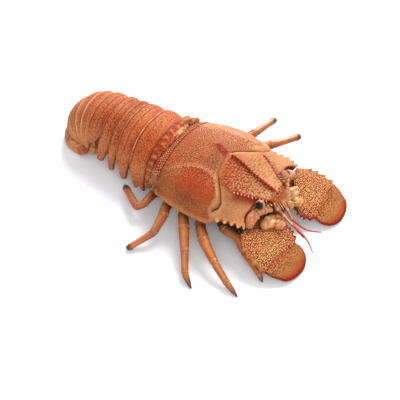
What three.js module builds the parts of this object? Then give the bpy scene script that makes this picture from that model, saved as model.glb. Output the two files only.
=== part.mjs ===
// A cooked slipper lobster lying on its belly, its tail curled under at the end.
// Millimetres, +Z up. The head points to -Y, the tail to +Y, and the animal's right side is -X.
// The origin is on the ground below the middle of the thorax, in the flat of the belly.

import * as THREE from "three";
import { mergeVertices } from "three/addons/utils/BufferGeometryUtils.js";

// ---------------------------------------------------------------------------
// Driving dimensions
// ---------------------------------------------------------------------------

const SEAM = 0.3; // gap between two pieces that lie against each other

const CARAPACE_BACK = 20.8; // y of the rear edge on the midline
const CARAPACE_TIP = -48.6; // y of the tip between the eyes
const CARAPACE_CORNER_Y = -42.6; // y of the front corner teeth
const CARAPACE_UNDERSIDE = 10.4; // height of the flat under the shell, above the legs
const SHELL_EDGE = 1.7; // thickness of the shell at its edges
const EDGE_TEETH = 6; // teeth along each front side of the carapace

const BELLY_HALF_WIDTH = 13.6;
const BELLY_BACK = 18.2;
const BELLY_FRONT = -24;

const PLEURON_TIP_HEIGHT = 3.6; // the side flaps of the tail end this far above the ground
const BELLY_HEIGHT = 8.6; // underside of the tail between its side flaps
const SLIT_HEIGHT = 8.6; // lower edge of the curled end, above the folded fan
const CURL_START = 62; // y where the tail begins to curl down
const CURL_REACH = 41; // from there to the rearmost point

const PLATE_ROOT = { y: -41, z: 15 }; // the flat antennae slope down from here
const PLATE_SLOPE = 0.37;
const PLATE_THICKNESS = 1.7;

const EYE_ROOT = [9.4, -43.3, 22.6]; // where the eye stalks leave the head
const EYE_PLACE = [14.1, -43.3, 26.6]; // middles of the eyeballs
const EYE_RADIUS = 2.75;

const RIGHT = -1; // the sign of x on each side of the animal
const LEFT = 1;
const SIDES = [["right", RIGHT], ["left", LEFT]];

// ---------------------------------------------------------------------------
// Small mathematics
// ---------------------------------------------------------------------------

const { lerp, clamp, degToRad } = THREE.MathUtils;

// 0 before `from`, 1 after `to`, smooth between them; `from` may be the greater one.
function rise(value, from, to) {
  const t = clamp((value - from) / (to - from), 0, 1);
  return t * t * (3 - 2 * t);
}

// A bump of height 1 at `centre` that fades out over `width` on both sides.
function bump(value, centre, width) {
  return Math.exp(-(((value - centre) / width) ** 2));
}

// A smooth curve through pairs [position, value], level beyond its ends.
function through(...pairs) {
  const slopes = pairs.map((pair, i) => {
    const before = pairs[Math.max(i - 1, 0)];
    const after = pairs[Math.min(i + 1, pairs.length - 1)];
    return (after[1] - before[1]) / (after[0] - before[0]);
  });
  return (x) => {
    const last = pairs.length - 1;
    const at = clamp(x, pairs[0][0], pairs[last][0]);
    let i = 0;
    while (i < last - 1 && at > pairs[i + 1][0]) i += 1;
    const [x0, y0] = pairs[i];
    const [x1, y1] = pairs[i + 1];
    const span = x1 - x0;
    const t = (at - x0) / span;
    const rest = 1 - t;
    return (
      y0 * (1 + 2 * t) * rest * rest +
      y1 * (3 - 2 * t) * t * t +
      slopes[i] * span * t * rest * rest -
      slopes[i + 1] * span * rest * t * t
    );
  };
}

// Distance in plan from (x, y) to a line of points.
function nearLine(x, y, line) {
  let nearest = Infinity;
  for (let i = 0; i + 1 < line.length; i += 1) {
    const [ax, ay] = line[i];
    const [bx, by] = line[i + 1];
    const t = clamp(
      ((x - ax) * (bx - ax) + (y - ay) * (by - ay)) / ((bx - ax) ** 2 + (by - ay) ** 2),
      0,
      1,
    );
    nearest = Math.min(nearest, Math.hypot(x - lerp(ax, bx, t), y - lerp(ay, by, t)));
  }
  return nearest;
}

// ---------------------------------------------------------------------------
// Ways of making a solid
// ---------------------------------------------------------------------------

// Keeps only the places of a geometry's points and shares them between its faces.
function welded(geometry) {
  geometry.deleteAttribute("normal");
  geometry.deleteAttribute("uv");
  const solid = mergeVertices(geometry, 1e-4);
  solid.computeVertexNormals();
  return solid;
}

// A block bent into a closed shape: place(across, along, top) gives each point, with across from
// -1 to 1, along from 0 to 1, and top true on the upper skin. `mirrored` turns its faces round.
function slab(acrossSteps, alongSteps, place, mirrored = false) {
  const block = new THREE.BoxGeometry(2, 1, 1, acrossSteps, alongSteps, 1);
  const points = block.attributes.position;
  for (let i = 0; i < points.count; i += 1) {
    const [x, y, z] = place(points.getX(i), points.getY(i) + 0.5, points.getZ(i) > 0);
    points.setXYZ(i, x, y, z);
  }
  foldAcross(block);
  if (mirrored) turnFaces(block);
  return welded(block);
}

// Splits each four-sided face of a block along its shorter diagonal, so that both halves of the
// animal are split alike.
function foldAcross(geometry) {
  const { index } = geometry;
  const points = geometry.attributes.position;
  const corner = (i) => new THREE.Vector3().fromBufferAttribute(points, i);
  for (let i = 0; i < index.count; i += 6) {
    const [a, b, d, , c] = index.array.slice(i, i + 5);
    if (corner(a).distanceTo(corner(c)) < corner(b).distanceTo(corner(d))) {
      index.array.set([a, b, c, a, c, d], i);
    }
  }
}

function turnFaces(geometry) {
  const index = geometry.index;
  for (let i = 0; i < index.count; i += 3) {
    const kept = index.getX(i);
    index.setX(i, index.getX(i + 1));
    index.setX(i + 1, kept);
  }
}

// A round limb along stations { at: [x, y, z], radius, flat }: one ring of points at each station,
// square to the way the limb runs there, and `flat` times as high as it is wide.
function limb(stations, sides) {
  const rings = stations.length - 1;
  const geometry = new THREE.CylinderGeometry(1, 1, 1, sides, rings);
  const points = geometry.attributes.position;
  const centres = stations.map((station) => new THREE.Vector3(...station.at));
  const frames = centres.map((_, i) => {
    const before = centres[Math.max(i - 1, 0)];
    const after = centres[Math.min(i + 1, rings)];
    const ahead = after.clone().sub(before).normalize();
    const side = new THREE.Vector3(0, 0, 1).cross(ahead).normalize();
    return { side, up: ahead.clone().cross(side) };
  });
  for (let i = 0; i < points.count; i += 1) {
    const ring = Math.round((0.5 - points.getY(i)) * rings);
    const { radius, flat = 1 } = stations[ring];
    const place = centres[ring]
      .clone()
      .addScaledVector(frames[ring].side, points.getX(i) * radius)
      .addScaledVector(frames[ring].up, -points.getZ(i) * radius * flat);
    points.setXYZ(i, place.x, place.y, place.z);
  }
  turnFaces(geometry);
  return welded(geometry);
}

// A rounded body: a ball with its own radius along each axis, moved to its place.
function pebble(at, radii, across = 12, up = 8) {
  const ball = new THREE.SphereGeometry(1, across, up);
  ball.rotateX(Math.PI / 2);
  ball.scale(...radii);
  ball.translate(...at);
  return welded(ball);
}

// ---------------------------------------------------------------------------
// Carapace
// ---------------------------------------------------------------------------

const midlineHeight = through(
  [-49, 23.4], [-44, 25.4], [-38, 27.2], [-30, 30.6], [-22, 35], [-14, 38],
  [-7, 38.7], [2, 38], [12, 35.8], [21.5, 33],
);
const marginHeight = through([-43, 20.4], [-24, 19], [-10, 18], [8, 17.2], [21, 16.4]);
const halfWidth = through(
  [-43, 29.2], [-34, 30], [-26, 31.2], [-23.4, 31.8], [-21.6, 35.6], [-14, 36.9],
  [-2, 36.2], [8, 34.8], [15, 33], [20, 30.6], [25, 27.6],
);
// y of the front and rear edges, by the share of the half width from the midline.
const frontEdge = through(
  [0, CARAPACE_TIP], [0.1, -48.2], [0.2, -46.2], [0.28, -43.6], [0.38, -40.4], [0.48, -39.4],
  [0.6, -39.2], [0.76, -38.9], [0.87, -40.6], [0.96, CARAPACE_CORNER_Y], [1, CARAPACE_CORNER_Y],
);
const rearEdge = through(
  [0, CARAPACE_BACK], [0.35, 21.6], [0.7, 23.6], [0.86, 23.4], [0.95, 20.6], [1, 18],
);

// Lines on the shell, in plan, for its left half; the right half mirrors them.
const NECK_GROOVE = [[0, -12.5], [7, -13], [13.5, -15.5], [17.5, -19.5], [21, -22.4], [24.4, -24.2],
  [27.4, -23.8], [31.5, -22.4]];
const SIDE_CREST = [[22, 12], [19.5, 5.5], [17.2, -2], [16.6, -8.5], [17.9, -14.2], [20.6, -17.8],
  [24, -20.4]];

// The brow ridges, as their distance from the midline, and the height of the brim at their foot.
// The brim falls off to the side as a power of the way out.
const browLine = through([-46, 7.6], [-39.5, 10], [-35, 12.6], [-30.8, 14.6], [-26, 17]);
const brimHeight = through([-44, 23.4], [-40, 24.6], [-34, 26], [-28, 28], [-23, 31]);
const BRIM_FALL = 1.25;
const BROW_STEP = 2.8; // width of the drop beside a brow ridge

// Relief of the shell: each rib and groove is a bell-shaped swell across its line.
const GROOVE = { depth: 0.5, width: 1.6 }; // along the neck groove
const VALLEY = { depth: 0.9, width: 4.5 }; // the wide hollow around it
const CREST = { height: 0.7, width: 2.2 }; // along the side crests
const BROW = { height: 0.6, width: 1.3 };
const KEEL = { height: 0.7, width: 1.7 }; // on the midline, from the groove to the tip
const KNOB = { height: 1.1, width: 1.9, length: 3.4, y: -7 }; // the red knob behind the groove
const REAR_GROOVE = { depth: 0.6, width: 1.2, in: 3.4 }; // along the rear edge, this far in from it

const CROSS_ROUNDNESS = 2.05; // 2 would make the back an exact ellipse
const CROSS_FULLNESS = 0.54;

// Height of the shell's outer skin at (x, y), where the half width is `wide`.
function shellHeight(x, y, wide) {
  const off = Math.abs(x);
  const share = Math.min(off / wide, 1);
  const arch = (1 - share ** CROSS_ROUNDNESS) ** CROSS_FULLNESS;
  let z = lerp(marginHeight(y), midlineHeight(y), arch);

  // Beside the brow ridges the front of the shell steps down to a nearly flat brim.
  const brow = browLine(y);
  const slope = clamp((off - brow - 1) / (wide - brow - 1), 0, 1);
  const brim = lerp(brimHeight(y), marginHeight(y), slope ** BRIM_FALL);
  z = lerp(z, Math.min(z, brim), rise(y, -23, -28) * rise(off, brow, brow + BROW_STEP));

  const groove = nearLine(off, y, NECK_GROOVE);
  const behind = rearEdge(share) - y;
  z -= GROOVE.depth * bump(groove, 0, GROOVE.width);
  z -= VALLEY.depth * bump(groove, 0, VALLEY.width) * rise(off, 3, 12) * rise(share, 0.9, 0.7);
  z += CREST.height * bump(nearLine(off, y, SIDE_CREST), 0, CREST.width);
  z += BROW.height * bump(off, brow - BROW.width / 2, BROW.width) * rise(y, -26.5, -29.5);
  z += KEEL.height * bump(off, 0, KEEL.width) * rise(y, -14, -17) * rise(y, -47, -44);
  z += KNOB.height * bump(off, 0, KNOB.width) * bump(y, KNOB.y, KNOB.length);
  z -= REAR_GROOVE.depth * bump(behind, REAR_GROOVE.in, REAR_GROOVE.width) * rise(share, 0.95, 0.75);
  return z;
}

// Rows of the shell from its rear edge to its front: even over the back, and two to a tooth in front.
const BACK_ROWS = 20;
const FRONT_ROWS = 2 * EDGE_TEETH;
const FIRST_TOOTH = (18 + 24.4) / (18 - CARAPACE_CORNER_Y); // share of the side edge behind the teeth

function shellRow(along) {
  const row = along * (BACK_ROWS + FRONT_ROWS);
  if (row <= BACK_ROWS) return (FIRST_TOOTH * row) / BACK_ROWS;
  return lerp(FIRST_TOOTH, 1, (row - BACK_ROWS) / FRONT_ROWS);
}

function toothOut(along) {
  const row = Math.round(along * (BACK_ROWS + FRONT_ROWS)) - BACK_ROWS;
  if (row <= 0) return 0;
  return row % 2 ? -0.7 : 0.8;
}

// Share of the half width for each column of the mesh: in front one column follows the brow ridge.
const BROW_COLUMN = 5 / 13;

function shellShare(across, row) {
  const column = Math.abs(across);
  const even = column ** 0.9;
  const y = lerp(rearEdge(BROW_COLUMN), frontEdge(BROW_COLUMN), row);
  const ridge = browLine(y) / halfWidth(y);
  const fitted = column < BROW_COLUMN
    ? (ridge * column) / BROW_COLUMN
    : lerp(ridge, 1, (column - BROW_COLUMN) / (1 - BROW_COLUMN));
  return Math.sign(across) * lerp(even, fitted, rise(row, 0.5, 0.72));
}

function carapacePoint(across, along, top) {
  const row = shellRow(along);
  const share = shellShare(across, row);
  const edge = Math.abs(share);
  const y = lerp(rearEdge(edge), frontEdge(edge), row);
  const wide = halfWidth(y);
  const x = share * wide + Math.sign(share) * toothOut(along) * rise(edge, 0.93, 1);
  const outer = shellHeight(share * wide, y, wide);
  if (top) return [x, y, outer];
  const flank = Math.max(rise(edge, 0.5, 1) ** 1.2, 0);
  const inside = lerp(CARAPACE_UNDERSIDE, marginHeight(y) - SHELL_EDGE, flank);
  const depth = rise(row, 0.055, 0.13) * rise(row, 0.93, 0.8);
  return [x, y, lerp(outer - SHELL_EDGE, inside, depth)];
}

// ---------------------------------------------------------------------------
// Tail
// ---------------------------------------------------------------------------

const tailHalfWidth = through([17, 27.5], [30, 26.8], [46, 25], [60, 22.6], [72, 20.6], [84, 19.6], [120, 18.6]);
const tailTop = through([17, 31.4], [30, 34], [42, 35.8], [CURL_START, 35.6]);

const RING_FULLNESS = 0.87;

// One cross-section of the tail. Up to the curl `station` is its y; beyond, each unit turns it
// 1.5 degrees about the inside of the curl, until the last one lies level above the folded fan.
const CURL_STEP = 1.5;
const CURL_END = CURL_START + 90 / CURL_STEP;
const curlFoot = through([CURL_START, CURL_START], [77, 76.6], [92, 80], [CURL_END, 82]);
const curlFootHeight = through([CURL_START, PLEURON_TIP_HEIGHT], [77, SLIT_HEIGHT], [CURL_END, SLIT_HEIGHT]);

function tailRing(station) {
  const wide = tailHalfWidth(station);
  if (station <= CURL_START) {
    return { wide, foot: [station, PLEURON_TIP_HEIGHT], crown: [station, tailTop(station)] };
  }
  const turn = degToRad((station - CURL_START) * CURL_STEP);
  return {
    wide,
    foot: [curlFoot(station), curlFootHeight(station)],
    crown: [
      CURL_START + CURL_REACH * Math.sin(turn),
      SLIT_HEIGHT + (tailTop(CURL_START) - SLIT_HEIGHT) * Math.cos(turn),
    ],
  };
}

// A point of a ring, `angle` degrees from its crown, `out` millimetres proud of it.
function ringPoint(station, angle, out = 0) {
  const { wide, foot, crown } = tailRing(station);
  const height = Math.hypot(crown[0] - foot[0], crown[1] - foot[1]);
  const up = [(crown[0] - foot[0]) / height, (crown[1] - foot[1]) / height];
  const sine = Math.sin(degToRad(angle));
  const cosine = Math.max(Math.cos(degToRad(angle)), 0);
  const x = Math.sign(sine) * (wide + out) * Math.abs(sine) ** RING_FULLNESS;
  const reach = (height + out) * cosine ** RING_FULLNESS;
  return [x, foot[0] + up[0] * reach, foot[1] + up[1] * reach];
}

// The segments of the tail: dorsal stations of the front and rear edges, the angle at which the
// side flaps part, the station of their tips, the half width of a tip and how far it hangs down.
const TAIL_SEGMENTS = [
  { name: "tail_segment_1", front: 18.6, back: 29.2, part: 50, tip: 25.8, blunt: 2, low: 70, sunk: 0.7 },
  { name: "tail_segment_2", front: 29.6, back: 41.6, part: 58, tip: 33, blunt: 3.2, low: 90, sunk: 0 },
  { name: "tail_segment_3", front: 41.9, back: 53.1, part: 57, tip: 46.2, blunt: 1.5, low: 90, sunk: 0 },
  { name: "tail_segment_4", front: 53.4, back: 58.9, part: 57, tip: 57, blunt: 1.4, low: 90, sunk: 0 },
  { name: "tail_segment_5", front: 59.2, back: 66.4, part: 55, tip: 66.6, blunt: 1.6, low: 90, sunk: 0 },
  { name: "tail_segment_6", front: 66.7, back: 77, part: 52, tip: 73.9, blunt: 2.7, low: 74, sunk: 0 },
];

// Rise and fall of a segment from its front edge to its rear: a low front that slides under the
// segment before it, a groove, and a rounded hind part that ends in a step.
const segmentRelief = through([0, -1.1], [0.22, -0.7], [0.42, -0.1], [0.7, 0.5], [0.9, 0.45], [1, 0]);

// The first segment's front slides in under the rear edge of the carapace.
const TUCKED_BEHIND = 20;

function tuckUnderShell(point) {
  const wide = halfWidth(point[1]);
  const share = Math.min(Math.abs(point[0]) / wide, 1);
  const below = shellHeight(point[0], point[1], wide) - SHELL_EDGE - 2 * SEAM;
  const inside = rise(point[1], rearEdge(share) + 1.6, rearEdge(share) + 0.4);
  point[2] = lerp(point[2], Math.min(point[2], below), inside);
}

function segmentPoint(segment, across, along, top) {
  const angle = across * segment.low;
  const beyond = rise(Math.abs(angle), segment.part, segment.low);
  const taper = clamp((Math.abs(angle) - segment.part) / (segment.low - segment.part), 0, 1) ** 1.5;
  const lead = segment.front < TUCKED_BEHIND ? rearEdge(Math.abs(across) * 0.9) - CARAPACE_BACK : 0;
  const front = lerp(segment.front + lead, segment.tip - segment.blunt, taper);
  const back = lerp(segment.back, segment.tip + segment.blunt, taper);
  const station = lerp(front, back, along);
  const outer = ringPoint(station, angle, (segmentRelief(along) - segment.sunk) * (1 - 0.6 * beyond));
  if (segment.front < TUCKED_BEHIND) tuckUnderShell(outer);
  if (top) return outer;
  const inner = ringPoint(station, angle, -2.2);
  const share = Math.abs(angle) / segment.low;
  const bellyX = inner[0];
  const bellyZ = Math.min(BELLY_HEIGHT + 0.6 * bump(along, 0.5, 0.3), outer[2] - 1.6);
  const { foot } = tailRing(station);
  const hang = rise(share, 0.72, 0.86);
  return [
    lerp(bellyX * 0.94, inner[0], hang),
    lerp(foot[0], outer[1], hang),
    lerp(bellyZ, Math.max(inner[2], outer[2] - 0.4), hang),
  ];
}

// The hind plate: three ridges cross it, and it curls down to the slit above the fan.
const PLATE_FRONT_STATION = 77.4;
const hindRelief = through(
  [0, -0.7], [0.1, -0.1], [0.2, 0.4], [0.26, -0.3], [0.4, 0.3], [0.48, -0.2], [0.7, 0.4], [1, 0],
);

function hindPlatePoint(across, along, top) {
  const angle = across * 90;
  const station = lerp(PLATE_FRONT_STATION, CURL_END, along);
  if (top) return ringPoint(station, angle, hindRelief(along) * rise(Math.abs(across), 1, 0.8));
  const { wide, foot } = tailRing(station);
  return [across * wide * 0.93, foot[0], foot[1] + 1.2 * (1 - along)];
}

// The fan, folded under the curl: five lobes side by side round the end, each hanging from the
// slit to the ground and turned in beneath. Angles are from the rearmost point.
const FAN_LOBES = [
  { name: "fan_outer_right", from: -90, to: -43 },
  { name: "fan_inner_right", from: -42, to: -15 },
  { name: "fan_middle", from: -14, to: 14 },
  { name: "fan_inner_left", from: 15, to: 42 },
  { name: "fan_outer_left", from: 43, to: 90 },
];
const FAN_THICKNESS = 1.5;
const FAN_FRONT = 2.4; // how far the fan reaches ahead of the curl's foot
const fanSpread = through([0, 0.99], [0.25, 1.13], [0.5, 1.18], [0.68, 1.12], [0.82, 0.94], [1, 0.55]);
const FAN_PUSH = 0.45; // how much of that spread the rear of the fan has
const fanHeight = through([0, SLIT_HEIGHT - SEAM], [0.25, 5.4], [0.5, 2.2], [0.68, 0.5], [0.8, 0], [1, 0]);

function fanPoint(lobe, across, along, top) {
  const angle = lerp(lobe.from, lobe.to, (across + 1) / 2);
  const spread = fanSpread(along) + 0.02 * (1 - across * across);
  const push = 1 + (spread - 1) * (spread > 1 ? FAN_PUSH : 1);
  const rim = ringPoint(CURL_END, angle);
  const footY = tailRing(CURL_END).foot[0];
  const inward = top ? 1 : 1 - FAN_THICKNESS / 19;
  const lift = top ? 0 : FAN_THICKNESS * rise(along, 0.35, 0.85);
  return [
    rim[0] * spread * inward,
    footY - FAN_FRONT + (rim[1] - footY + FAN_FRONT) * push * inward,
    fanHeight(along) + lift,
  ];
}

// The joint that carries the folded lobes of the fan on each side.
const FAN_ROOT = [14.8, 77, 5.5];
const FAN_ROOT_RADII = [3.2, 3.4, 2.6];

// ---------------------------------------------------------------------------
// Flat antennae
// ---------------------------------------------------------------------------

function planCurve(...points) {
  return new THREE.SplineCurve(points.map(([x, y]) => new THREE.Vector2(x, y)));
}

// A patch between four plan curves that meet at its corners: inner and outer run from root to tip,
// root and end run from the inner side to the outer.
function patch({ root, end, inner, outer }, u, v) {
  const between = (from, to, t) => from.clone().lerp(to, t);
  const sides = between(inner.getPoint(v), outer.getPoint(v), u);
  const ends = between(root.getPoint(u), end.getPoint(u), v);
  const near = between(root.getPoint(0), root.getPoint(1), u);
  const far = between(end.getPoint(0), end.getPoint(1), u);
  const place = sides.add(ends).sub(between(near, far, v));
  return [place.x, place.y];
}

const BLADE = {
  root: planCurve([8.6, -56], [11.4, -53.6], [17, -49.2], [22.6, -44.8], [26.8, -42], [31.6, -41.2]),
  inner: planCurve([8.6, -56], [7.8, -59], [9, -62.4], [11.6, -66.6]),
  outer: planCurve([31.6, -41.2], [36, -46], [38.7, -51], [40.4, -57], [40.7, -62.9]),
  end: planCurve([11.6, -66.6], [18, -65.4], [26, -63.8], [34, -63.2], [40.7, -62.9]),
};
const FAN_BLADE = {
  root: planCurve([11.7, -67], [18, -65.8], [26, -64.2], [34, -63.6], [40.6, -63.3]),
  inner: planCurve([11.7, -67], [11.6, -69], [12.4, -71.4]),
  outer: planCurve([40.6, -63.3], [39.8, -67.4], [38, -71.6]),
  end: planCurve([12.4, -71.4], [15.6, -75.2], [22.5, -77.3], [30.5, -76.8], [36, -74.6], [38, -71.6]),
};
const OUTER_TEETH = { places: [0.36, 0.53, 0.72, 0.93], width: 0.06, out: 1.3 };
const INNER_TEETH = { places: [0.28, 0.55, 0.85], width: 0.08, out: 0.9 };
const BLADE_CROWN = 1.3; // how much higher the middle of a plate is than its edges
const FAN_BLADE_CROWN = 0.9;

function bladeHeight(y) {
  return PLATE_ROOT.z + (y - PLATE_ROOT.y) * PLATE_SLOPE;
}

function plateHeight(y, u, top, crown) {
  const edge = Math.min(rise(u, 0, 0.25), rise(u, 1, 0.75));
  const middle = bladeHeight(y);
  return top ? middle + PLATE_THICKNESS / 2 + crown * edge : middle - PLATE_THICKNESS / 2;
}

// How far out an edge stands at `along`, for teeth at the places given.
function toothed(along, { places, width, out }) {
  return out * Math.max(...places.map((place) => 1 - Math.abs(along - place) / width), 0);
}

function bladePoint(side, across, along, top) {
  const u = (across + 1) / 2;
  const [x, y] = patch(BLADE, u, along);
  const outward = toothed(along, OUTER_TEETH) * rise(u, 0.9, 1);
  const inward = toothed(along, INNER_TEETH) * rise(u, 0.1, 0);
  const crown = BLADE_CROWN * rise(along, 0, 0.25);
  return [side * (x + outward - inward), y, plateHeight(y, u, top, crown)];
}

function fanBladePoint(side, across, along, top) {
  const u = (across + 1) / 2;
  const [x, y] = patch(FAN_BLADE, u, along);
  return [side * x, y, plateHeight(y, u, top, FAN_BLADE_CROWN * rise(along, 1, 0.3))];
}

// The flat base of each antenna, between the head and the blade.
const BASE = {
  root: planCurve([6.4, -44.2], [10.4, -43.8], [18, -42.2], [25.4, -40.2]),
  inner: planCurve([6.4, -44.2], [7.2, -50], [9.2, -55.2]),
  outer: planCurve([25.4, -40.2], [26, -41], [26.2, -41.8]),
  end: planCurve([9.2, -55.2], [11.4, -53.1], [17, -48.7], [22.4, -44.4], [26.2, -41.8]),
};
const BASE_DROP = 0.6; // its top lies this far below the middle of the blade
const BASE_THICKNESS = 3.6;

function basePoint(side, across, along, top) {
  const u = (across + 1) / 2;
  const [x, y] = patch(BASE, u, along);
  const thickness = BASE_THICKNESS * (0.35 + 0.65 * rise(u, 0, 0.3) * rise(u, 1, 0.7));
  const upper = bladeHeight(y) - BASE_DROP;
  return [side * x, y, top ? upper : upper - thickness];
}

// ---------------------------------------------------------------------------
// Legs
// ---------------------------------------------------------------------------

const LEG_SIDES = 8;
const SHIN_FLATNESS = 0.85;

// Stations of a leg from its joints [x, y, z, radius]: each length swells towards its far end and
// narrows at the joint. A leg ends in a claw point, or blunt where its end has broken off.
function legStations(joints, pointed) {
  const stations = [];
  joints.slice(0, -1).forEach(([x, y, z, radius], i) => {
    const [nextX, nextY, nextZ, nextRadius] = joints[i + 1];
    const last = i === joints.length - 2;
    const swell = last && pointed ? [[0, 0.8], [0.12, 0.98], [0.6, 0.62], [1, 0.2]] : [[0, 0.78], [0.1, 0.92], [0.82, 1.1]];
    const steps = last && !pointed ? [...swell, [1, 0.86]] : swell;
    steps.forEach(([t, size]) => {
      stations.push({
        at: [lerp(x, nextX, t), lerp(y, nextY, t), lerp(z, nextZ, t)],
        radius: lerp(radius, last && pointed ? radius : nextRadius, t) * size,
        flat: SHIN_FLATNESS,
      });
    });
  });
  return stations;
}

const LEGS = [
  { name: "leg_right_1", pointed: true, joints: [[-14.2, -14, 6, 2.9], [-22, -20, 8, 2.9], [-29.6, -26.4, 10.8, 2.7],
    [-29.7, -38.4, 9.6, 2.5], [-34.2, -46, 7.8, 2.2], [-40.2, -60, 4, 1.7], [-43.2, -64.4, 0.5, 1.1]] },
  { name: "leg_right_2", pointed: true, joints: [[-14.2, -6.5, 6, 3], [-24, -11.6, 8, 3], [-34.7, -16.7, 11, 2.8],
    [-43.2, -24.9, 12, 2.7], [-50.4, -37, 8, 2.3], [-55.7, -48.8, 3.5, 1.9], [-58.2, -57.3, 0.5, 1.4]] },
  { name: "leg_right_3", pointed: true, joints: [[-14.2, 1, 6, 3], [-23, -1, 8, 3], [-32.1, -3, 11, 2.8],
    [-42.7, -11, 12.5, 2.7], [-53.7, -19.1, 8.5, 2.3], [-63.4, -25.8, 4, 1.9], [-67.8, -33.1, 0.5, 1.4]] },
  { name: "leg_right_4", pointed: false, joints: [[-14.2, 8.5, 6, 3], [-23, 8.6, 8, 3], [-32.8, 8.2, 11, 2.8],
    [-40.9, 4.8, 12, 2.6], [-51.6, 4.2, 7.5, 2.2], [-64.4, 12.2, 2, 1.7]] },
  { name: "leg_right_5", pointed: false, joints: [[-14.2, 15, 5.6, 2.6], [-20.6, 17.6, 5.6, 2.6], [-27.4, 21, 9, 2.5],
    [-38, 21, 9, 2.3], [-41.1, 23.8, 8, 2.2], [-31.2, 39, 6, 1.9]] },
  { name: "leg_left_1", pointed: true, joints: [[14.2, -14, 6, 2.9], [22, -20, 8, 2.9], [29.6, -27, 10.6, 2.7],
    [29.6, -38.6, 9.6, 2.5], [32, -51, 6.4, 2.2], [33, -59.6, 3.6, 1.6], [34.4, -65, 0.5, 1]] },
  { name: "leg_left_2", pointed: false, joints: [[14.2, -6.5, 6, 3], [24, -8, 8, 3], [34.6, -8.6, 11, 2.8],
    [44.4, -17.6, 12, 2.6], [61.4, -25.7, 9, 2]] },
  { name: "leg_left_3", pointed: false, joints: [[14.2, 1, 6, 3], [24, 1.6, 8, 3], [35, 1.4, 11, 2.8],
    [47, -2.9, 12, 2.6], [65.8, -5.3, 9, 2]] },
  { name: "leg_left_4", pointed: true, joints: [[14.2, 8.5, 6, 3], [22, 10, 7.6, 3], [29, 11.4, 8.6, 2.7],
    [36, 15.6, 6.6, 2.4], [35.4, 25.5, 2.8, 1.9], [33.6, 33, 0.5, 1.3]] },
  { name: "leg_left_5", pointed: false, joints: [[14.2, 15, 5.6, 2.6], [20.6, 17.6, 5.6, 2.6], [26.4, 20.8, 6.4, 2.2],
    [30.4, 28, 3.8, 1.9], [29.6, 37, 1.9, 1.5]] },
];

// ---------------------------------------------------------------------------
// Belly and head
// ---------------------------------------------------------------------------

// The thorax below the shell: flat underneath, where the animal rests.
function bellyPoint(across, along, top) {
  const y = lerp(BELLY_BACK, BELLY_FRONT, along);
  const narrow = lerp(1, 0.72, along);
  const wide = BELLY_HALF_WIDTH * narrow * (top ? 1 : 0.72);
  return [across * wide, y, top ? CARAPACE_UNDERSIDE - SEAM : 0];
}

// The head below the shell's front, down to the mouth.
const headCeiling = through([-44, 14.6], [-41, 12], [-38, CARAPACE_UNDERSIDE - SEAM]);
const headFloor = through([-44, 12], [-36, 7.8], [-27, 5.8]);

function headPoint(across, along, top) {
  const y = lerp(BELLY_FRONT - SEAM, -43.5, along);
  const wide = lerp(13, 8, along) * (top ? 1 : 0.7);
  return [across * wide, y, top ? headCeiling(y) : headFloor(y)];
}

// Stations of a limb on the other side of the animal.
function mirrored(stations, side) {
  return stations.map(({ at: [x, y, z], ...rest }) => ({ at: [side * x, y, z], ...rest }));
}

// The thick first joints of each antenna arch round below the front edge of the shell.
const ANTENNA_ROOT = [
  { at: [23.4, -44, 15.6], radius: 1.9 }, { at: [22, -42.8, 17.2], radius: 2.9 },
  { at: [19, -42.2, 18.6], radius: 3.1 }, { at: [15.4, -43.3, 19.6], radius: 2.6 },
  { at: [14.6, -43.7, 19.8], radius: 2.3 }, { at: [11.8, -45, 20], radius: 2.4 },
  { at: [9, -46.4, 19.2], radius: 2 }, { at: [7.2, -47.8, 17.8], radius: 1.3 },
];

// Rounded joints between the blades and the mouth.
const HEAD_LOBES = [
  { name: "joint_large", at: [13.6, -48.7, 15.2], radii: [4.4, 3.3, 3] },
  { name: "joint_outer", at: [10.7, -55, 14.1], radii: [2.8, 2.6, 2.5] },
  { name: "joint_inner", at: [6.2, -52, 13.3], radii: [1.9, 2.7, 2] },
];

const MOUTHPART = [
  { at: [4.4, -25, 2.8], radius: 2 }, { at: [4.6, -27.5, 3], radius: 2.3 },
  { at: [5, -36, 5], radius: 2.3 }, { at: [4.8, -38, 5.8], radius: 1.9 },
  { at: [4.2, -44.5, 9.6], radius: 1.7 }, { at: [3.8, -47, 11.6], radius: 0.9 },
];

// The thin antennules: a jointed stem, then one long feeler that curves out to its side.
const ANTENNULES = {
  right: [
    { at: [-3.2, -44.8, 18.6], radius: 1.2 }, { at: [-3.2, -46.6, 17.9], radius: 1.6 },
    { at: [-3.7, -49.2, 17], radius: 1.2 }, { at: [-5.2, -53.7, 16.2], radius: 1.2 },
    { at: [-7, -58.7, 15.4], radius: 1 }, { at: [-8.1, -63.4, 14.6], radius: 0.9 },
    { at: [-10, -70.6, 13.1], radius: 0.7 }, { at: [-11.8, -74.3, 12.4], radius: 0.6 },
    { at: [-16, -79.8, 11], radius: 0.4 },
  ],
  left: [
    { at: [3.2, -44.8, 18.6], radius: 1.2 }, { at: [3.2, -46.6, 17.9], radius: 1.6 },
    { at: [2.3, -50, 16.8], radius: 1.2 }, { at: [0.7, -53, 15], radius: 1.2 },
    { at: [-0.8, -55.9, 13.4], radius: 1 }, { at: [-1.9, -58.6, 12.2], radius: 0.9 },
    { at: [-2.6, -65, 10.4], radius: 0.7 }, { at: [-1.9, -69, 9.5], radius: 0.6 },
    { at: [2, -75.6, 8.2], radius: 0.4 },
  ],
};

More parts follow.
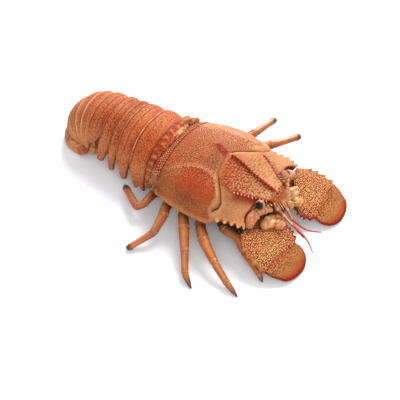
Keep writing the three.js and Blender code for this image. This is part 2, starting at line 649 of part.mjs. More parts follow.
// An eye on its stalk, turned about the line from its root to the ball.
function eye(side) {
  const root = new THREE.Vector3(side * EYE_ROOT[0], EYE_ROOT[1], EYE_ROOT[2]);
  const ball = new THREE.Vector3(side * EYE_PLACE[0], EYE_PLACE[1], EYE_PLACE[2]);
  const length = root.distanceTo(ball);
  const profile = [
    [0, 0], [1.3, 0.1], [1.2, 0.35 * length], [1.9, 0.6 * length], [0.9 * EYE_RADIUS, 0.8 * length],
    [EYE_RADIUS, length], [0.85 * EYE_RADIUS, length + 0.53 * EYE_RADIUS],
    [0.5 * EYE_RADIUS, length + 0.87 * EYE_RADIUS], [0, length + EYE_RADIUS],
  ].map(([radius, along]) => new THREE.Vector2(radius, along));
  const turned = new THREE.LatheGeometry(profile, 12);
  const aim = ball.sub(root).normalize();
  turned.applyQuaternion(new THREE.Quaternion().setFromUnitVectors(new THREE.Vector3(0, 1, 0), aim));
  turned.translate(root.x, root.y, root.z);
  return welded(turned);
}

// ---------------------------------------------------------------------------
// Assembly
// ---------------------------------------------------------------------------

const shell = { color: 0xc98558, roughness: 0.55, metalness: 0 };
const redShell = { color: 0xb9623c, roughness: 0.5, metalness: 0 };
const paleJoint = { color: 0xc9a063, roughness: 0.4, metalness: 0 };
const legShell = { color: 0xb5713a, roughness: 0.35, metalness: 0 };
const feeler = { color: 0xb04a22, roughness: 0.4, metalness: 0 };
const eyeBlack = { color: 0x16100e, roughness: 0.12, metalness: 0 };

const lobster = new THREE.Group();

function add(name, geometry, look, parent = lobster) {
  const mesh = new THREE.Mesh(geometry, new THREE.MeshStandardMaterial(look));
  mesh.name = name;
  parent.add(mesh);
  return mesh;
}

add("carapace", slab(26, BACK_ROWS + FRONT_ROWS, (a, b, top) => carapacePoint(a, 1 - b, top)), shell);
add("belly", slab(4, 6, (a, b, top) => bellyPoint(a, 1 - b, top)), legShell);
add("head_underside", slab(4, 5, (a, b, top) => headPoint(a, 1 - b, top)), paleJoint);

TAIL_SEGMENTS.forEach((segment) => {
  const solid = slab(20, 4, (a, b, top) => segmentPoint(segment, a, b, top));
  add(segment.name, solid, redShell);
});
add("hind_plate", slab(18, 9, hindPlatePoint), redShell);
FAN_LOBES.forEach((lobe) => {
  const steps = lobe.to - lobe.from > 40 ? 6 : 4;
  add(lobe.name, slab(steps, 7, (a, b, top) => fanPoint(lobe, a, b, top)), paleJoint);
});

SIDES.forEach(([label, side]) => {
  const flip = side === LEFT;
  add(`antenna_blade_${label}`, slab(8, 14, (a, b, top) => bladePoint(side, a, b, top), flip), shell);
  add(`antenna_fan_${label}`, slab(10, 4, (a, b, top) => fanBladePoint(side, a, b, top), flip), shell);
  const [rootX, rootY, rootZ] = FAN_ROOT;
  add(`fan_root_${label}`, pebble([side * rootX, rootY, rootZ], FAN_ROOT_RADII, 10, 6), paleJoint);
  add(`eye_${label}`, eye(side), eyeBlack);
  add(`antenna_root_${label}`, limb(mirrored(ANTENNA_ROOT, side), 8), shell);
  add(`antenna_base_${label}`, slab(4, 3, (a, b, top) => basePoint(side, a, b, top), flip), shell);
  HEAD_LOBES.forEach(({ name, at, radii }) => {
    add(`${name}_${label}`, pebble([side * at[0], at[1], at[2]], radii, 8, 5), paleJoint);
  });
  add(`mouthpart_${label}`, limb(mirrored(MOUTHPART, side), 7), paleJoint);
  add(`antennule_${label}`, limb(ANTENNULES[label], 6), feeler);
});

LEGS.forEach(({ name, joints, pointed }) => {
  add(name, limb(legStations(joints, pointed), LEG_SIDES), legShell);
});

export default lobster;
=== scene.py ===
import itertools
import math

import bmesh
import bpy
import numpy as np
from mathutils import Matrix, Vector


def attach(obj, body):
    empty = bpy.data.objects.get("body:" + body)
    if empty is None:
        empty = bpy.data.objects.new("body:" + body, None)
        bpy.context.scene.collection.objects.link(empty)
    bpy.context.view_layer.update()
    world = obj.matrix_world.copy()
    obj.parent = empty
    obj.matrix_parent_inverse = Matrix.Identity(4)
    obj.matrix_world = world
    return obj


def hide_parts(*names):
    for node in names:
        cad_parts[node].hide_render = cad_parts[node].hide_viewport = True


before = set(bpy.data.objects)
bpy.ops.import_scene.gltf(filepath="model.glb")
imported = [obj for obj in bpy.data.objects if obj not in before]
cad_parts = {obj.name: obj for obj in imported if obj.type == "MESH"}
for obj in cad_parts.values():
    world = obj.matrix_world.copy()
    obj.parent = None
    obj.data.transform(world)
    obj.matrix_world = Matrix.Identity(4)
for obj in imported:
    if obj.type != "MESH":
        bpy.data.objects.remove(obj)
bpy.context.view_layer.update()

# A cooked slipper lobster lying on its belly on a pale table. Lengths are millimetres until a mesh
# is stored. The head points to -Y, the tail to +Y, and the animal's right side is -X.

MM = 0.001  # metres in a millimetre
SIDES = {"right": -1, "left": 1}  # which way each side of the animal lies along X
SEAM = 0.3  # gap between two pieces that lie against each other

# ---------------------------------------------------------------------------
# Small mathematics, on arrays
# ---------------------------------------------------------------------------


def rise(value, start, end):
    """0 before start, 1 after end, smooth between; start may be the greater one."""
    t = np.clip((value - start) / (end - start), 0, 1)
    return t * t * (3 - 2 * t)


def bump(value, centre, width):
    return np.exp(-(((value - centre) / width) ** 2))


def blend(a, b, t):
    return a + (b - a) * t


def through(*pairs):
    """A smooth curve through pairs (position, value), level beyond its ends."""
    places, values = np.array(pairs, float).T
    last = len(places) - 1
    behind = np.maximum(np.arange(last + 1) - 1, 0)
    ahead = np.minimum(np.arange(last + 1) + 1, last)
    slopes = (values[ahead] - values[behind]) / (places[ahead] - places[behind])

    def curve(x):
        x = np.clip(x, places[0], places[-1])
        i = np.clip(np.searchsorted(places, x, side="right") - 1, 0, last - 1)
        span = places[i + 1] - places[i]
        t = (x - places[i]) / span
        rest = 1 - t
        level = values[i] * (1 + 2 * t) * rest**2 + values[i + 1] * (3 - 2 * t) * t**2
        return level + span * t * rest * (slopes[i] * rest - slopes[i + 1] * t)

    return curve


def near_line(x, y, line):
    """Distance in plan to a line of points, and how far along the line that is."""
    nearest = np.full(np.shape(x), np.inf)
    run = np.zeros(np.shape(x))
    length = 0.0
    for (ax, ay), (bx, by) in zip(line, line[1:]):
        span = math.hypot(bx - ax, by - ay)
        t = np.clip(((x - ax) * (bx - ax) + (y - ay) * (by - ay)) / span**2, 0, 1)
        distance = np.hypot(x - blend(ax, bx, t), y - blend(ay, by, t))
        run = np.where(distance < nearest, length + t * span, run)
        nearest = np.minimum(nearest, distance)
        length += span
    return nearest, run


HASH_STEPS = (73856093, 19349663, 83492791)
HASH_SEED = 2971215073
CHANNEL_STEP = 0x9E3779B97F4A7C15
WORD = 0xFFFFFFFFFFFFFFFF
MIXERS = ((30, 0xBF58476D1CE4E5B9), (27, 0x94D049BB133111EB))  # shift and factor
LAST_SHIFT = 31
FRACTION_BITS = 53
DOME_SCATTER = 0.62  # share of its cell over which the middle of a granule may lie


def dice(cell, seed, channels):
    """Numbers from 0 to 1 that depend only on a whole-numbered cell, the seed and the channel."""
    key = np.full(len(cell), seed * HASH_SEED, np.int64)
    for column, step in zip(cell.T, HASH_STEPS):
        key ^= column * step
    thrown = []
    for channel in range(channels):
        mixed = key.astype(np.uint64) + np.uint64(channel * CHANNEL_STEP & WORD)
        for shift, factor in MIXERS:
            mixed = (mixed ^ (mixed >> np.uint64(shift))) * np.uint64(factor)
        mixed ^= mixed >> np.uint64(LAST_SHIFT)
        thrown.append((mixed >> np.uint64(64 - FRACTION_BITS)).astype(float) / 2**FRACTION_BITS)
    return np.stack(thrown, 1)


def granules(points, size, seed, fullness=0.62):
    """Domes scattered through space or over a surface, one to a cell: 0 between them, 1 on top."""
    grid = points / size
    base = np.floor(grid).astype(np.int64)
    dome = np.zeros(len(points))
    sides = points.shape[1]
    for step in itertools.product((-1, 0, 1), repeat=sides):
        cell = base + np.array(step)
        thrown = dice(cell, seed, sides + 1)
        middle = cell + 0.5 + DOME_SCATTER * (thrown[:, :sides] - 0.5)
        distance = np.linalg.norm(middle - grid, axis=1)
        wide = fullness * (0.75 + 0.4 * thrown[:, sides])
        dome = np.maximum(dome, np.clip(1 - (distance / wide) ** 2, 0, 1))
    return dome


def drift(points, size, seed):
    """Slow, smooth unevenness from 0 to 1, with swells of about this size."""
    grid = points / size
    base = np.floor(grid).astype(np.int64)
    part = grid - base
    part = part * part * (3 - 2 * part)
    level = np.zeros(len(points))
    for step in itertools.product((0, 1), repeat=3):
        corner = np.array(step)
        weight = np.prod(np.where(corner, part, 1 - part), axis=1)
        level += weight * dice(base + corner, seed, 1)[:, 0]
    return level


# ---------------------------------------------------------------------------
# Making meshes
# ---------------------------------------------------------------------------

# Painted on every piece, from 0 to 1: grain is 1 on the tips of the granules, flush is how red the
# shell is, pale the yellowish skin at edges and joints, deep the crimson or the darkest parts, dusk
# the violet-brown tinge and line the thin dark lines. Pale and grain also carry painted highlights
# and sheen, and deep, dusk, flush and line painted shade.
MASKS = ("grain", "flush", "pale", "deep", "dusk", "line")
MERGE_DISTANCE = 0.002  # points of a mesh nearer than this are one


def store(mesh, points, masks):
    """Puts the places, in millimetres, and the painted masks on a mesh."""
    mesh.vertices.foreach_set("co", (points * MM).astype(np.float32).ravel())
    for name in MASKS:
        value = np.broadcast_to(np.clip(masks.get(name, 0.0), 0, 1), len(points))
        layer = mesh.attributes.new(name, "FLOAT", "POINT")
        layer.data.foreach_set("value", value.astype(np.float32))


def parameters(mesh):
    """The points of a mesh as three rows of numbers."""
    flat = np.empty(len(mesh.vertices) * 3, np.float32)
    mesh.vertices.foreach_get("co", flat)
    return flat.reshape(-1, 3).astype(float).T


def as_mesh(bm, name="part"):
    """The mesh that a bmesh holds; the bmesh is freed."""
    mesh = bpy.data.meshes.new(name)
    bm.to_mesh(mesh)
    bm.free()
    return mesh


def new_verts(made):
    return [item for item in made["geom"] if isinstance(item, bmesh.types.BMVert)]


def shaped(bm, place):
    """Turns a bmesh whose points hold (u, v, layer) into a mesh with place(u, v, layer) applied."""
    mesh = as_mesh(bm)
    u, v, layer = parameters(mesh)
    points, masks = place(u, (v + 1) / 2, np.rint(-layer).astype(int))
    store(mesh, points, masks)
    bm = bmesh.new()
    bm.from_mesh(mesh)
    bmesh.ops.remove_doubles(bm, verts=bm.verts, dist=MERGE_DISTANCE * MM)
    bmesh.ops.recalc_face_normals(bm, faces=bm.faces)
    bm.to_mesh(mesh)
    bm.free()
    return mesh


def sheet(across, along):
    bm = bmesh.new()
    bmesh.ops.create_grid(bm, x_segments=across, y_segments=along, size=1)
    return bm


def slab(across, along, place):
    """A block of two skins: layer 0 is the upper one, layer 1 the lower."""
    bm = sheet(across, along)
    made = bmesh.ops.extrude_face_region(bm, geom=bm.faces[:], use_keep_orig=True)
    bmesh.ops.translate(bm, verts=new_verts(made), vec=(0, 0, -1))
    return shaped(bm, place)


def hood(across, along, rings, place):
    """One fine skin, turned under round its rim by a few rings, the last of which closes it."""
    bm = sheet(across, along)
    for _ in range(rings):
        rim = [edge for edge in bm.edges if edge.is_boundary]
        made = bmesh.ops.extrude_edge_only(bm, edges=rim)
        bmesh.ops.translate(bm, verts=new_verts(made), vec=(0, 0, -1))
    return shaped(bm, place)


def tube(around, along, place):
    """A closed limb: u from -1 to 1 runs round it, v from 0 to 1 along it."""
    return shaped(sheet(around, along), place)


def ball(place, fineness=4):
    """A closed rounded body: place gets points on the unit sphere."""
    bm = bmesh.new()
    bmesh.ops.create_icosphere(bm, subdivisions=fineness, radius=1)
    mesh = as_mesh(bm)
    points, masks = place(parameters(mesh).T)
    store(mesh, points, masks)
    return mesh


def upper_only(masks, top, pale_below):
    """Masks painted on the upper skin alone, over a pale lower skin."""
    masks = {key: np.where(top, value, 0.0) for key, value in masks.items()}
    masks["pale"] = np.where(top, masks["pale"], pale_below)
    return masks


def on_side(at, side):
    """A place, a direction or a station given for the left side, on either side of the animal."""
    return (side * at[0], *at[1:])


HORN_SIDES = 8
HORN_RINGS = ((0.35, 0.82), (0.68, 0.5), (0.9, 0.22))  # height, radius


def horn_mesh(tip_pale, dark, red=0.95, pale_from=0.3):
    """A horn one unit high and one in radius, rounded at its tip and red or crimson at its foot."""
    bm = bmesh.new()
    bmesh.ops.create_circle(bm, cap_ends=True, segments=HORN_SIDES, radius=1)
    rim = bm.edges[:]
    for height, radius in HORN_RINGS:
        made = bmesh.ops.extrude_edge_only(bm, edges=rim)
        rim = [item for item in made["geom"] if isinstance(item, bmesh.types.BMEdge)]
        rim = [edge for edge in rim if edge.is_boundary]
        for vert in new_verts(made):
            flat = Vector((vert.co.x, vert.co.y, 0)).normalized() * radius
            vert.co = (flat.x, flat.y, height)
    tip = bmesh.ops.extrude_edge_only(bm, edges=rim)
    bmesh.ops.pointmerge(bm, verts=new_verts(tip), merge_co=(0, 0, 1))
    mesh = as_mesh(bm, "horn")
    points = parameters(mesh)
    height = points[2]
    store(mesh, points.T / MM, {
        "flush": red - 0.3 * height,
        "pale": tip_pale * rise(height, pale_from, pale_from + 0.45),
        "deep": dark * rise(height, 0.9, 0.1),
        "grain": 0.5 + 0.5 * tip_pale * rise(height, 0.3, 0.7),
    })
    return mesh


PALE_HORN = horn_mesh(0.75, 0.4)
DARK_HORN = horn_mesh(0.1, 0.95)
FINGER_HORN = horn_mesh(0.6, 0.1, red=0.55, pale_from=0.05)
HORN_SUNK = 0.25  # how deep the foot of a horn is sunk in the shell


def horns(places, horn=PALE_HORN):
    """A mesh of horns, one at each (foot, way, length, radius); lengths in millimetres."""
    bm = bmesh.new()
    for foot, way, length, radius in places:
        before = len(bm.verts)
        bm.from_mesh(horn)
        bm.verts.ensure_lookup_table()
        turn = Vector(way).to_track_quat("Z", "Y").to_matrix().to_4x4()
        size = Matrix.Diagonal((radius * MM, radius * MM, length * MM, 1))
        sunk = Vector(foot) - Vector(way).normalized() * HORN_SUNK
        matrix = Matrix.Translation(sunk * MM) @ turn @ size
        bmesh.ops.transform(bm, matrix=matrix, verts=bm.verts[before:])
    bmesh.ops.recalc_face_normals(bm, faces=bm.faces)
    return as_mesh(bm, "horns")


def piece(name, meshes, material, nodes=()):
    """Joins meshes into one object of the lobster under the root, and hides the CAD parts of the nodes it
    stands for.
    """
    bm = bmesh.new()
    for mesh in meshes:
        bm.from_mesh(mesh)
        bpy.data.meshes.remove(mesh)
    joined = as_mesh(bm, name)
    joined.shade_smooth()
    joined.materials.append(material)
    made = bpy.data.objects.new(name, joined)
    bpy.context.scene.collection.objects.link(made)
    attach(made, "root")
    if nodes:
        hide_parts(*nodes)
    return made


# ---------------------------------------------------------------------------
# Materials
# ---------------------------------------------------------------------------


def srgb(red, green, blue):
    """A colour given from 0 to 255 as it looks on a screen, as linear light."""

    def linear(channel):
        share = channel / 255
        return share / 12.92 if share <= 0.04045 else ((share + 0.055) / 1.055) ** 2.4

    return (linear(red), linear(green), linear(blue), 1)


class Value:
    """A node's output, for sums written as plain Python."""

    def __init__(self, shader, socket):
        self.shader = shader
        self.socket = socket

    def _sum(self, operation, first, second):
        return self.shader.node("ShaderNodeMath", {"operation": operation}, {0: first, 1: second})

    def __add__(self, other):
        return self._sum("ADD", self, other)

    __radd__ = __add__

    def __sub__(self, other):
        return self._sum("SUBTRACT", self, other)

    def __rsub__(self, other):
        return self._sum("SUBTRACT", other, self)

    def __mul__(self, other):
        return self._sum("MULTIPLY", self, other)

    __rmul__ = __mul__


class Shader:
    """A material that is built node by node."""

    def __init__(self, name):
        self.material = bpy.data.materials.new(name)
        self.material.use_nodes = True
        self.tree = self.material.node_tree
        self.tree.nodes.clear()

    def node(self, kind, settings, inputs, output=0):
        made = self.tree.nodes.new(kind)
        for key, value in settings.items():
            setattr(made, key, value)
        for key, value in inputs.items():
            if isinstance(value, Value):
                self.tree.links.new(value.socket, made.inputs[key])
            else:
                made.inputs[key].default_value = value
        return Value(self, made.outputs[output]) if made.outputs else None

    def mask(self, name):
        return self.node("ShaderNodeAttribute", {"attribute_name": name}, {}, "Fac")

    def place(self):
        return self.node("ShaderNodeTexCoord", {}, {}, "Object")

    def noise(self, scale, detail=3.0):
        """Unevenness with `scale` swells to the metre."""
        inputs = {"Vector": self.place(), "Scale": scale, "Detail": detail}
        return self.node("ShaderNodeTexNoise", {}, inputs, "Fac")

    def cells(self, scale):
        """1 in the middle of each of `scale` cells to the metre, 0 at their edges."""
        inputs = {"Vector": self.place(), "Scale": scale}
        return self.between(self.node("ShaderNodeTexVoronoi", {}, inputs, "Distance"), 0.6, 0.15)

    def between(self, value, low, high):
        """0 below low, 1 above high, smooth between."""
        settings = {"interpolation_type": "SMOOTHSTEP"}
        return self.node("ShaderNodeMapRange", settings, {"Value": value, 1: low, 2: high})

    def mix(self, factor, first, second, blend_type="MIX"):
        settings = {"data_type": "RGBA", "blend_type": blend_type}
        return self.node("ShaderNodeMix", settings, {0: factor, 6: first, 7: second}, 2)

    def finish(self, colour, roughness, height=None, depth=0.0001, **constants):
        """Ends the material; constants are the shader's own sockets, with _ for a blank."""
        inputs = {"Base Color": colour, "Roughness": roughness}
        if height is not None:
            bumped = {"Height": height, "Distance": depth, "Strength": 0.7}
            inputs["Normal"] = self.node("ShaderNodeBump", {}, bumped, "Normal")
        for key, value in constants.items():
            inputs[key.replace("_", " ")] = value
        surface = self.node("ShaderNodeBsdfPrincipled", {}, inputs, "BSDF")
        self.node("ShaderNodeOutputMaterial", {}, {"Surface": surface})
        return self.material


PALE = srgb(198, 139, 90)
CREAM = srgb(236, 188, 146)
RED = srgb(170, 52, 2)
CRIMSON = srgb(132, 22, 2)
DUSK = srgb(104, 50, 28)
OLIVE = srgb(66, 36, 12)
BURNT = srgb(64, 26, 14)
PIT_SHADE = srgb(132, 58, 24)
BEAD_CELLS = 1150.0  # fine beads of the shell, to the metre
BEAD_TINT = 0.12  # how much the beads colour the shell
DARKER_PATCH = 0.62  # brightness of the ground's darker patches


def cooked_shell(name, ground, pit, tips, tip=CREAM, gloss=0.54, coat=0.012, shine=0.12):
    """Cooked shell: a mottled ground that flushes red, with paler grain tips and darker pits."""
    shader = Shader(name)
    patches = shader.between(shader.noise(90.0), 0.35, 0.65)
    flecks = shader.between(shader.noise(900.0, 2.0), 0.3, 0.7)
    darker = tuple(DARKER_PATCH * channel for channel in ground[:3]) + (1,)
    colour = shader.mix(patches * 0.45 + flecks * 0.25, ground, darker)
    colour = shader.mix(shader.mask("flush") * (0.75 + 0.25 * patches), colour, RED)
    colour = shader.mix(shader.mask("dusk") * (0.55 + 0.45 * flecks), colour, DUSK)
    colour = shader.mix(shader.mask("pale") * (0.8 + 0.2 * flecks), colour, PALE)
    colour = shader.mix(shader.mask("deep"), colour, CRIMSON)
    grain = shader.mask("grain")
    low = shader.between(grain, 0.5, 0.0)
    high = shader.between(grain, 0.55, 0.95)
    bead = shader.cells(BEAD_CELLS)
    colour = shader.mix(low * pit + (1 - bead) * BEAD_TINT, colour, PIT_SHADE, "MULTIPLY")
    colour = shader.mix(high * tips + bead * (0.4 * BEAD_TINT), colour, tip)
    colour = shader.mix(shader.mask("line"), colour, OLIVE)
    rough = gloss + 0.18 * flecks - 0.1 * high
    height = shader.noise(1600.0) + 0.6 * flecks + bead * (2 * BEAD_TINT)
    constants = {"Coat_Weight": coat, "Coat_Roughness": 0.25, "Specular_IOR_Level": shine,
                 "Sheen_Weight": 0.02, "Sheen_Roughness": 0.4, "Sheen_Tint": (1, 0.82, 0.66, 1)}
    return shader.finish(colour, rough, height, 0.00012, **constants)


def smooth_shell(name, ground, dark, tip=PALE, gloss=0.28, coat=0.3):
    """Smooth, glossy cooked shell, with faint darker patches and pale joints."""
    shader = Shader(name)
    patches = shader.between(shader.noise(160.0), 0.3, 0.7)
    flecks = shader.between(shader.noise(1100.0, 2.0), 0.35, 0.75)
    colour = shader.mix(patches * 0.6 + flecks * 0.15, ground, dark)
    colour = shader.mix(shader.mask("flush"), colour, RED)
    colour = shader.mix(shader.mask("pale") * 0.9, colour, tip)
    colour = shader.mix(shader.mask("deep"), colour, BURNT)
    colour = shader.mix(shader.mask("line"), colour, OLIVE)
    rough = gloss + 0.16 * patches
    constants = {"Coat_Weight": coat, "Coat_Roughness": 0.14, "Specular_IOR_Level": 0.35}
    return shader.finish(colour, rough, shader.noise(700.0, 4.0), **constants)


def eye_shell(name):
    """A glossy black cornea in a dark ring, on a tan ball."""
    shader = Shader(name)
    flecks = shader.between(shader.noise(900.0), 0.35, 0.7)
    colour = shader.mix(flecks * 0.6, srgb(196, 140, 108), srgb(150, 92, 66))
    colour = shader.mix(shader.mask("flush"), colour, srgb(168, 78, 44))
    colour = shader.mix(shader.mask("line"), colour, srgb(70, 40, 32))
    colour = shader.mix(shader.mask("deep"), colour, srgb(12, 8, 8))
    rough = 0.36 - 0.28 * shader.mask("deep")
    return shader.finish(colour, rough, Coat_Weight=0.08, Coat_Roughness=0.03, Specular_IOR_Level=0.16)


MOIST = {"gloss": 0.4, "coat": 0.1, "shine": 0.25}
CARAPACE_SHELL = cooked_shell("carapace_shell", srgb(168, 94, 40), 0.65, 0.55)
TAIL_SHELL = cooked_shell("tail_shell", srgb(192, 98, 36), 0.6, 0.45)
BLADE_SHELL = cooked_shell("blade_shell", srgb(172, 102, 40), 0.6, 0.62, srgb(234, 186, 128))
BLADE_END_SHELL = cooked_shell("blade_end_shell", srgb(148, 82, 28), 0.5, 0.4, srgb(220, 160, 96))
FAN_SHELL = cooked_shell("fan_shell", srgb(220, 152, 74), 0.25, 0.2, **MOIST)
LOBE_SHELL = smooth_shell("lobe_shell", srgb(218, 164, 96), srgb(186, 118, 60), gloss=0.4, coat=0.15)
ROOT_SHELL = cooked_shell("root_shell", srgb(206, 128, 74), 0.3, 0.3, **MOIST)
LEG_SHELL = smooth_shell("leg_shell", srgb(182, 100, 34), srgb(134, 60, 18), coat=0.22)
FEELER_SHELL = smooth_shell("feeler_shell", srgb(200, 96, 34), srgb(164, 62, 18), CREAM, coat=0.12)
EYE_SHELL = eye_shell("eye_shell")

# ---------------------------------------------------------------------------
# Limbs
# ---------------------------------------------------------------------------

CAP = 0.6  # share of its radius over which a limb rounds off at its ends
PATH_STEP = 0.01  # share of a limb's length over which its way is measured
PEBBLE_SWELL = 2.2  # how close together the lumps of a rounded joint lie
PEBBLE_GRAIN = 0.9


def path(stations):
    """Curves for x, y, z and radius along stations (x, y, z, radius), and the path's length."""
    stations = np.array(stations, float)
    steps = np.linalg.norm(np.diff(stations[:, :3], axis=0), axis=1)
    run = np.concatenate([[0], np.cumsum(steps)]) / steps.sum()
    return [through(*zip(run, column)) for column in stations.T], steps.sum()


def limb(stations, around, along, paint, flat=1.0, relief=None, caps=(CAP, CAP)):
    """A closed round limb; paint(u, v, points) gives its masks and relief(u, v) its swells."""
    (*middle, radius), length = path(stations)

    def place(u, v, layer):
        centre = np.stack([curve(v) for curve in middle], 1)
        ahead = np.stack([curve(v + PATH_STEP) - curve(v - PATH_STEP) for curve in middle], 1)
        ahead /= np.linalg.norm(ahead, axis=1)[:, None]
        side = np.cross((0, 0, 1), ahead)
        side /= np.linalg.norm(side, axis=1)[:, None]
        up = np.cross(ahead, side)
        wide = radius(v)
        swell = relief(u, v) if relief else 0
        start = np.clip(v * length / (wide * caps[0]), 0, 1)
        end = np.clip((1 - v) * length / (wide * caps[1]), 0, 1)
        cap = np.sqrt(1 - (1 - start) ** 2) * np.sqrt(1 - (1 - end) ** 2)
        angle = u * math.pi
        reach = ((wide + swell) * cap)[:, None]
        points = centre + reach * (np.cos(angle)[:, None] * side + flat * np.sin(angle)[:, None] * up)
        return points, paint(u, v, points)

    return tube(around, along, place)


def pebble(at, radii, paint, lumps, seed, fineness=4):
    """A rounded joint: a ball with its own radius along each axis, and soft lumps."""
    def place(ball_points):
        uneven = drift(ball_points * PEBBLE_SWELL, 1.0, seed) - 0.5
        fine = granules(ball_points * np.array(radii), PEBBLE_GRAIN, seed + 7)
        out = 1 + lumps * uneven + 0.03 * fine
        points = np.array(at) + ball_points * out[:, None] * np.array(radii)
        return points, paint(ball_points, uneven, fine)

    return ball(place, fineness)


# ---------------------------------------------------------------------------
# Carapace
# ---------------------------------------------------------------------------

CARAPACE_BACK = 20.8
CARAPACE_TIP = -48.6
CORNER_Y = -42.6
CARAPACE_UNDERSIDE = 10.4
SHELL_EDGE = 1.7

midline_height = through(
    (-49, 23.4), (-44, 25.4), (-38, 27.2), (-30, 30.6), (-22, 35), (-14, 38),
    (-7, 38.7), (2, 38), (12, 35.8), (21.5, 33),
)
margin_height = through((-43, 20.4), (-24, 19), (-10, 18), (8, 17.2), (21, 16.4))
half_width = through(
    (-43, 29.2), (-34, 30), (-26, 32.2), (-23.6, 34.3), (-21.6, 36.1), (-14, 36.9),
    (-2, 36.2), (8, 34.8), (15, 33), (20, 30.6), (25, 27.6),
)
front_edge = through(
    (0, CARAPACE_TIP), (0.1, -48.2), (0.2, -46.2), (0.28, -43.6), (0.38, -40.4), (0.48, -39.4),
    (0.6, -39.2), (0.76, -38.9), (0.87, -40.6), (0.96, CORNER_Y), (1, CORNER_Y),
)
rear_edge = through((0, CARAPACE_BACK), (0.35, 21.6), (0.7, 23.6), (0.86, 23.4), (0.95, 20.6), (1, 18))

NECK_GROOVE_RIGHT = ((0, -12.5), (4.3, -12.9), (8.5, -13.4), (14.1, -15), (19.6, -19.9), (23, -22.7),
                     (25.4, -24.6), (28.3, -24.7), (31.7, -23))
NECK_GROOVE_LEFT = ((0, -12.5), (2.2, -13.5), (4.6, -14.8), (7.8, -16.7), (11, -18.9), (15, -21.3),
                    (20, -24), (25.4, -25), (28.3, -24.7), (31.7, -23))
SIDE_CREST = ((22, 12), (19.5, 5.5), (17.2, -2), (16.6, -8.5), (17.9, -14.2), (20.6, -17.8), (24, -20.4))
groove_y_right = through(*NECK_GROOVE_RIGHT)
groove_y_left = through(*NECK_GROOVE_LEFT)
crest_x = through(*((y, x) for x, y in reversed(SIDE_CREST)))
cheek_front = through((17, -13), (20.6, -17.8), (24, -20.4), (27.6, -21.4), (31, -20.2), (37, -17))

brow_line = through((-46, 7.6), (-39.5, 10), (-35, 12.6), (-30.8, 14.6), (-26, 17))
brim_height = through((-44, 23.4), (-40, 24.6), (-34, 26), (-28, 28), (-23, 31))
BRIM_FALL = 1.25
BROW_STEP = 2.8
CROSS_ROUNDNESS = 2.05
CROSS_FULLNESS = 0.54
KNOB = ((-0.2, -10.4), (0.3, -8.3), (1.9, -5), (2.6, -2.6))
EYE_PLACE = (14.1, -43.3, 26.6)
rear_groove_y = through((0, 18.4), (0.3, 18.2), (0.5, 17.8), (0.75, 17.4), (0.9, 16.4), (1, 15))
left_drawn_in = through(
    (-44, -0.6), (-38, -2), (-31, -2), (-26, 0.6), (-22, 3.2), (-15, 3.6), (-8, 2), (0, 1.4),
    (10, 0.8), (20, 0),
)
NORMAL_STEP = 0.2


def shell_half_width(x, y):
    """Half width on the side where x lies: the left shoulder is narrower, the left brim wider."""
    return half_width(y) - left_drawn_in(y) * (np.asarray(x) > 0)


def neck_groove(x, y):
    """Distance to the neck groove, and how far along it; its left branch runs further forward."""
    right, right_run = near_line(-x, y, NECK_GROOVE_RIGHT)
    left, left_run = near_line(x, y, NECK_GROOVE_LEFT)
    return np.where(x < 0, right, left), np.where(x < 0, right_run, left_run)


def shell_height(x, y, wide):
    """Height of the shell's outer skin at (x, y), where the half width is `wide`."""
    off = np.abs(x)
    share = np.minimum(off / wide, 1)
    arch = (1 - share**CROSS_ROUNDNESS) ** CROSS_FULLNESS
    z = blend(margin_height(y), midline_height(y), arch)
    brow = brow_line(y)
    slope = np.clip((off - brow - 1) / (wide - brow - 1), 0, 1)
    brim = blend(brim_height(y), margin_height(y), slope**BRIM_FALL)
    z = blend(z, np.minimum(z, brim), rise(y, -23, -28) * rise(off, brow, brow + BROW_STEP))
    groove, _ = neck_groove(x, y)
    z = z - 0.35 * bump(groove, 0, 1.3)
    z -= 0.8 * bump(groove, 0, 4.2) * rise(off, 3, 12) * rise(share, 0.9, 0.7)
    z += 0.7 * bump(near_line(off, y, SIDE_CREST)[0], 0, 2.2)
    z += 0.6 * bump(off, brow - 0.65, 1.3) * rise(y, -26.5, -29.5)
    z += 0.7 * bump(off, 0, 1.7) * rise(y, -14, -17) * rise(y, -47, -44)
    z += 0.3 * bump(near_line(x, y, KNOB)[0], 0, 2.2)
    z += 0.3 * bump(groove, 2.3, 0.9) * rise(off, 14, 18) * rise(share, 0.98, 0.9)
    z -= 0.6 * bump(y, rear_groove_y(share), 0.8) * rise(share, 0.95, 0.75)
    return z


def shell_normal(x, y, wide):
    """Which way the smooth shell faces."""
    across = shell_height(x + NORMAL_STEP, y, wide) - shell_height(x - NORMAL_STEP, y, wide)
    along = shell_height(x, y + NORMAL_STEP, wide) - shell_height(x, y - NORMAL_STEP, wide)
    normal = np.stack([-across, -along, np.full(len(x), 2 * NORMAL_STEP)], 1)
    return normal / np.linalg.norm(normal, axis=1)[:, None]


TOOTH_PITCH = 4.1
TOOTH_LEAN = 0.72  # share of the pitch that the long side of a tooth takes
TEETH_START = -23.9
KEEL_PITCH = 1.9


def tooth_wave(y):
    """Teeth along the front side of the shell: 1 at a tip, 0 between, each leaning to the front."""
    part = ((TEETH_START - y) / TOOTH_PITCH) % 1
    tooth = np.minimum(part / TOOTH_LEAN, (1 - part) / (1 - TOOTH_LEAN))
    return tooth * rise(y, TEETH_START + 0.2, TEETH_START - 0.6)


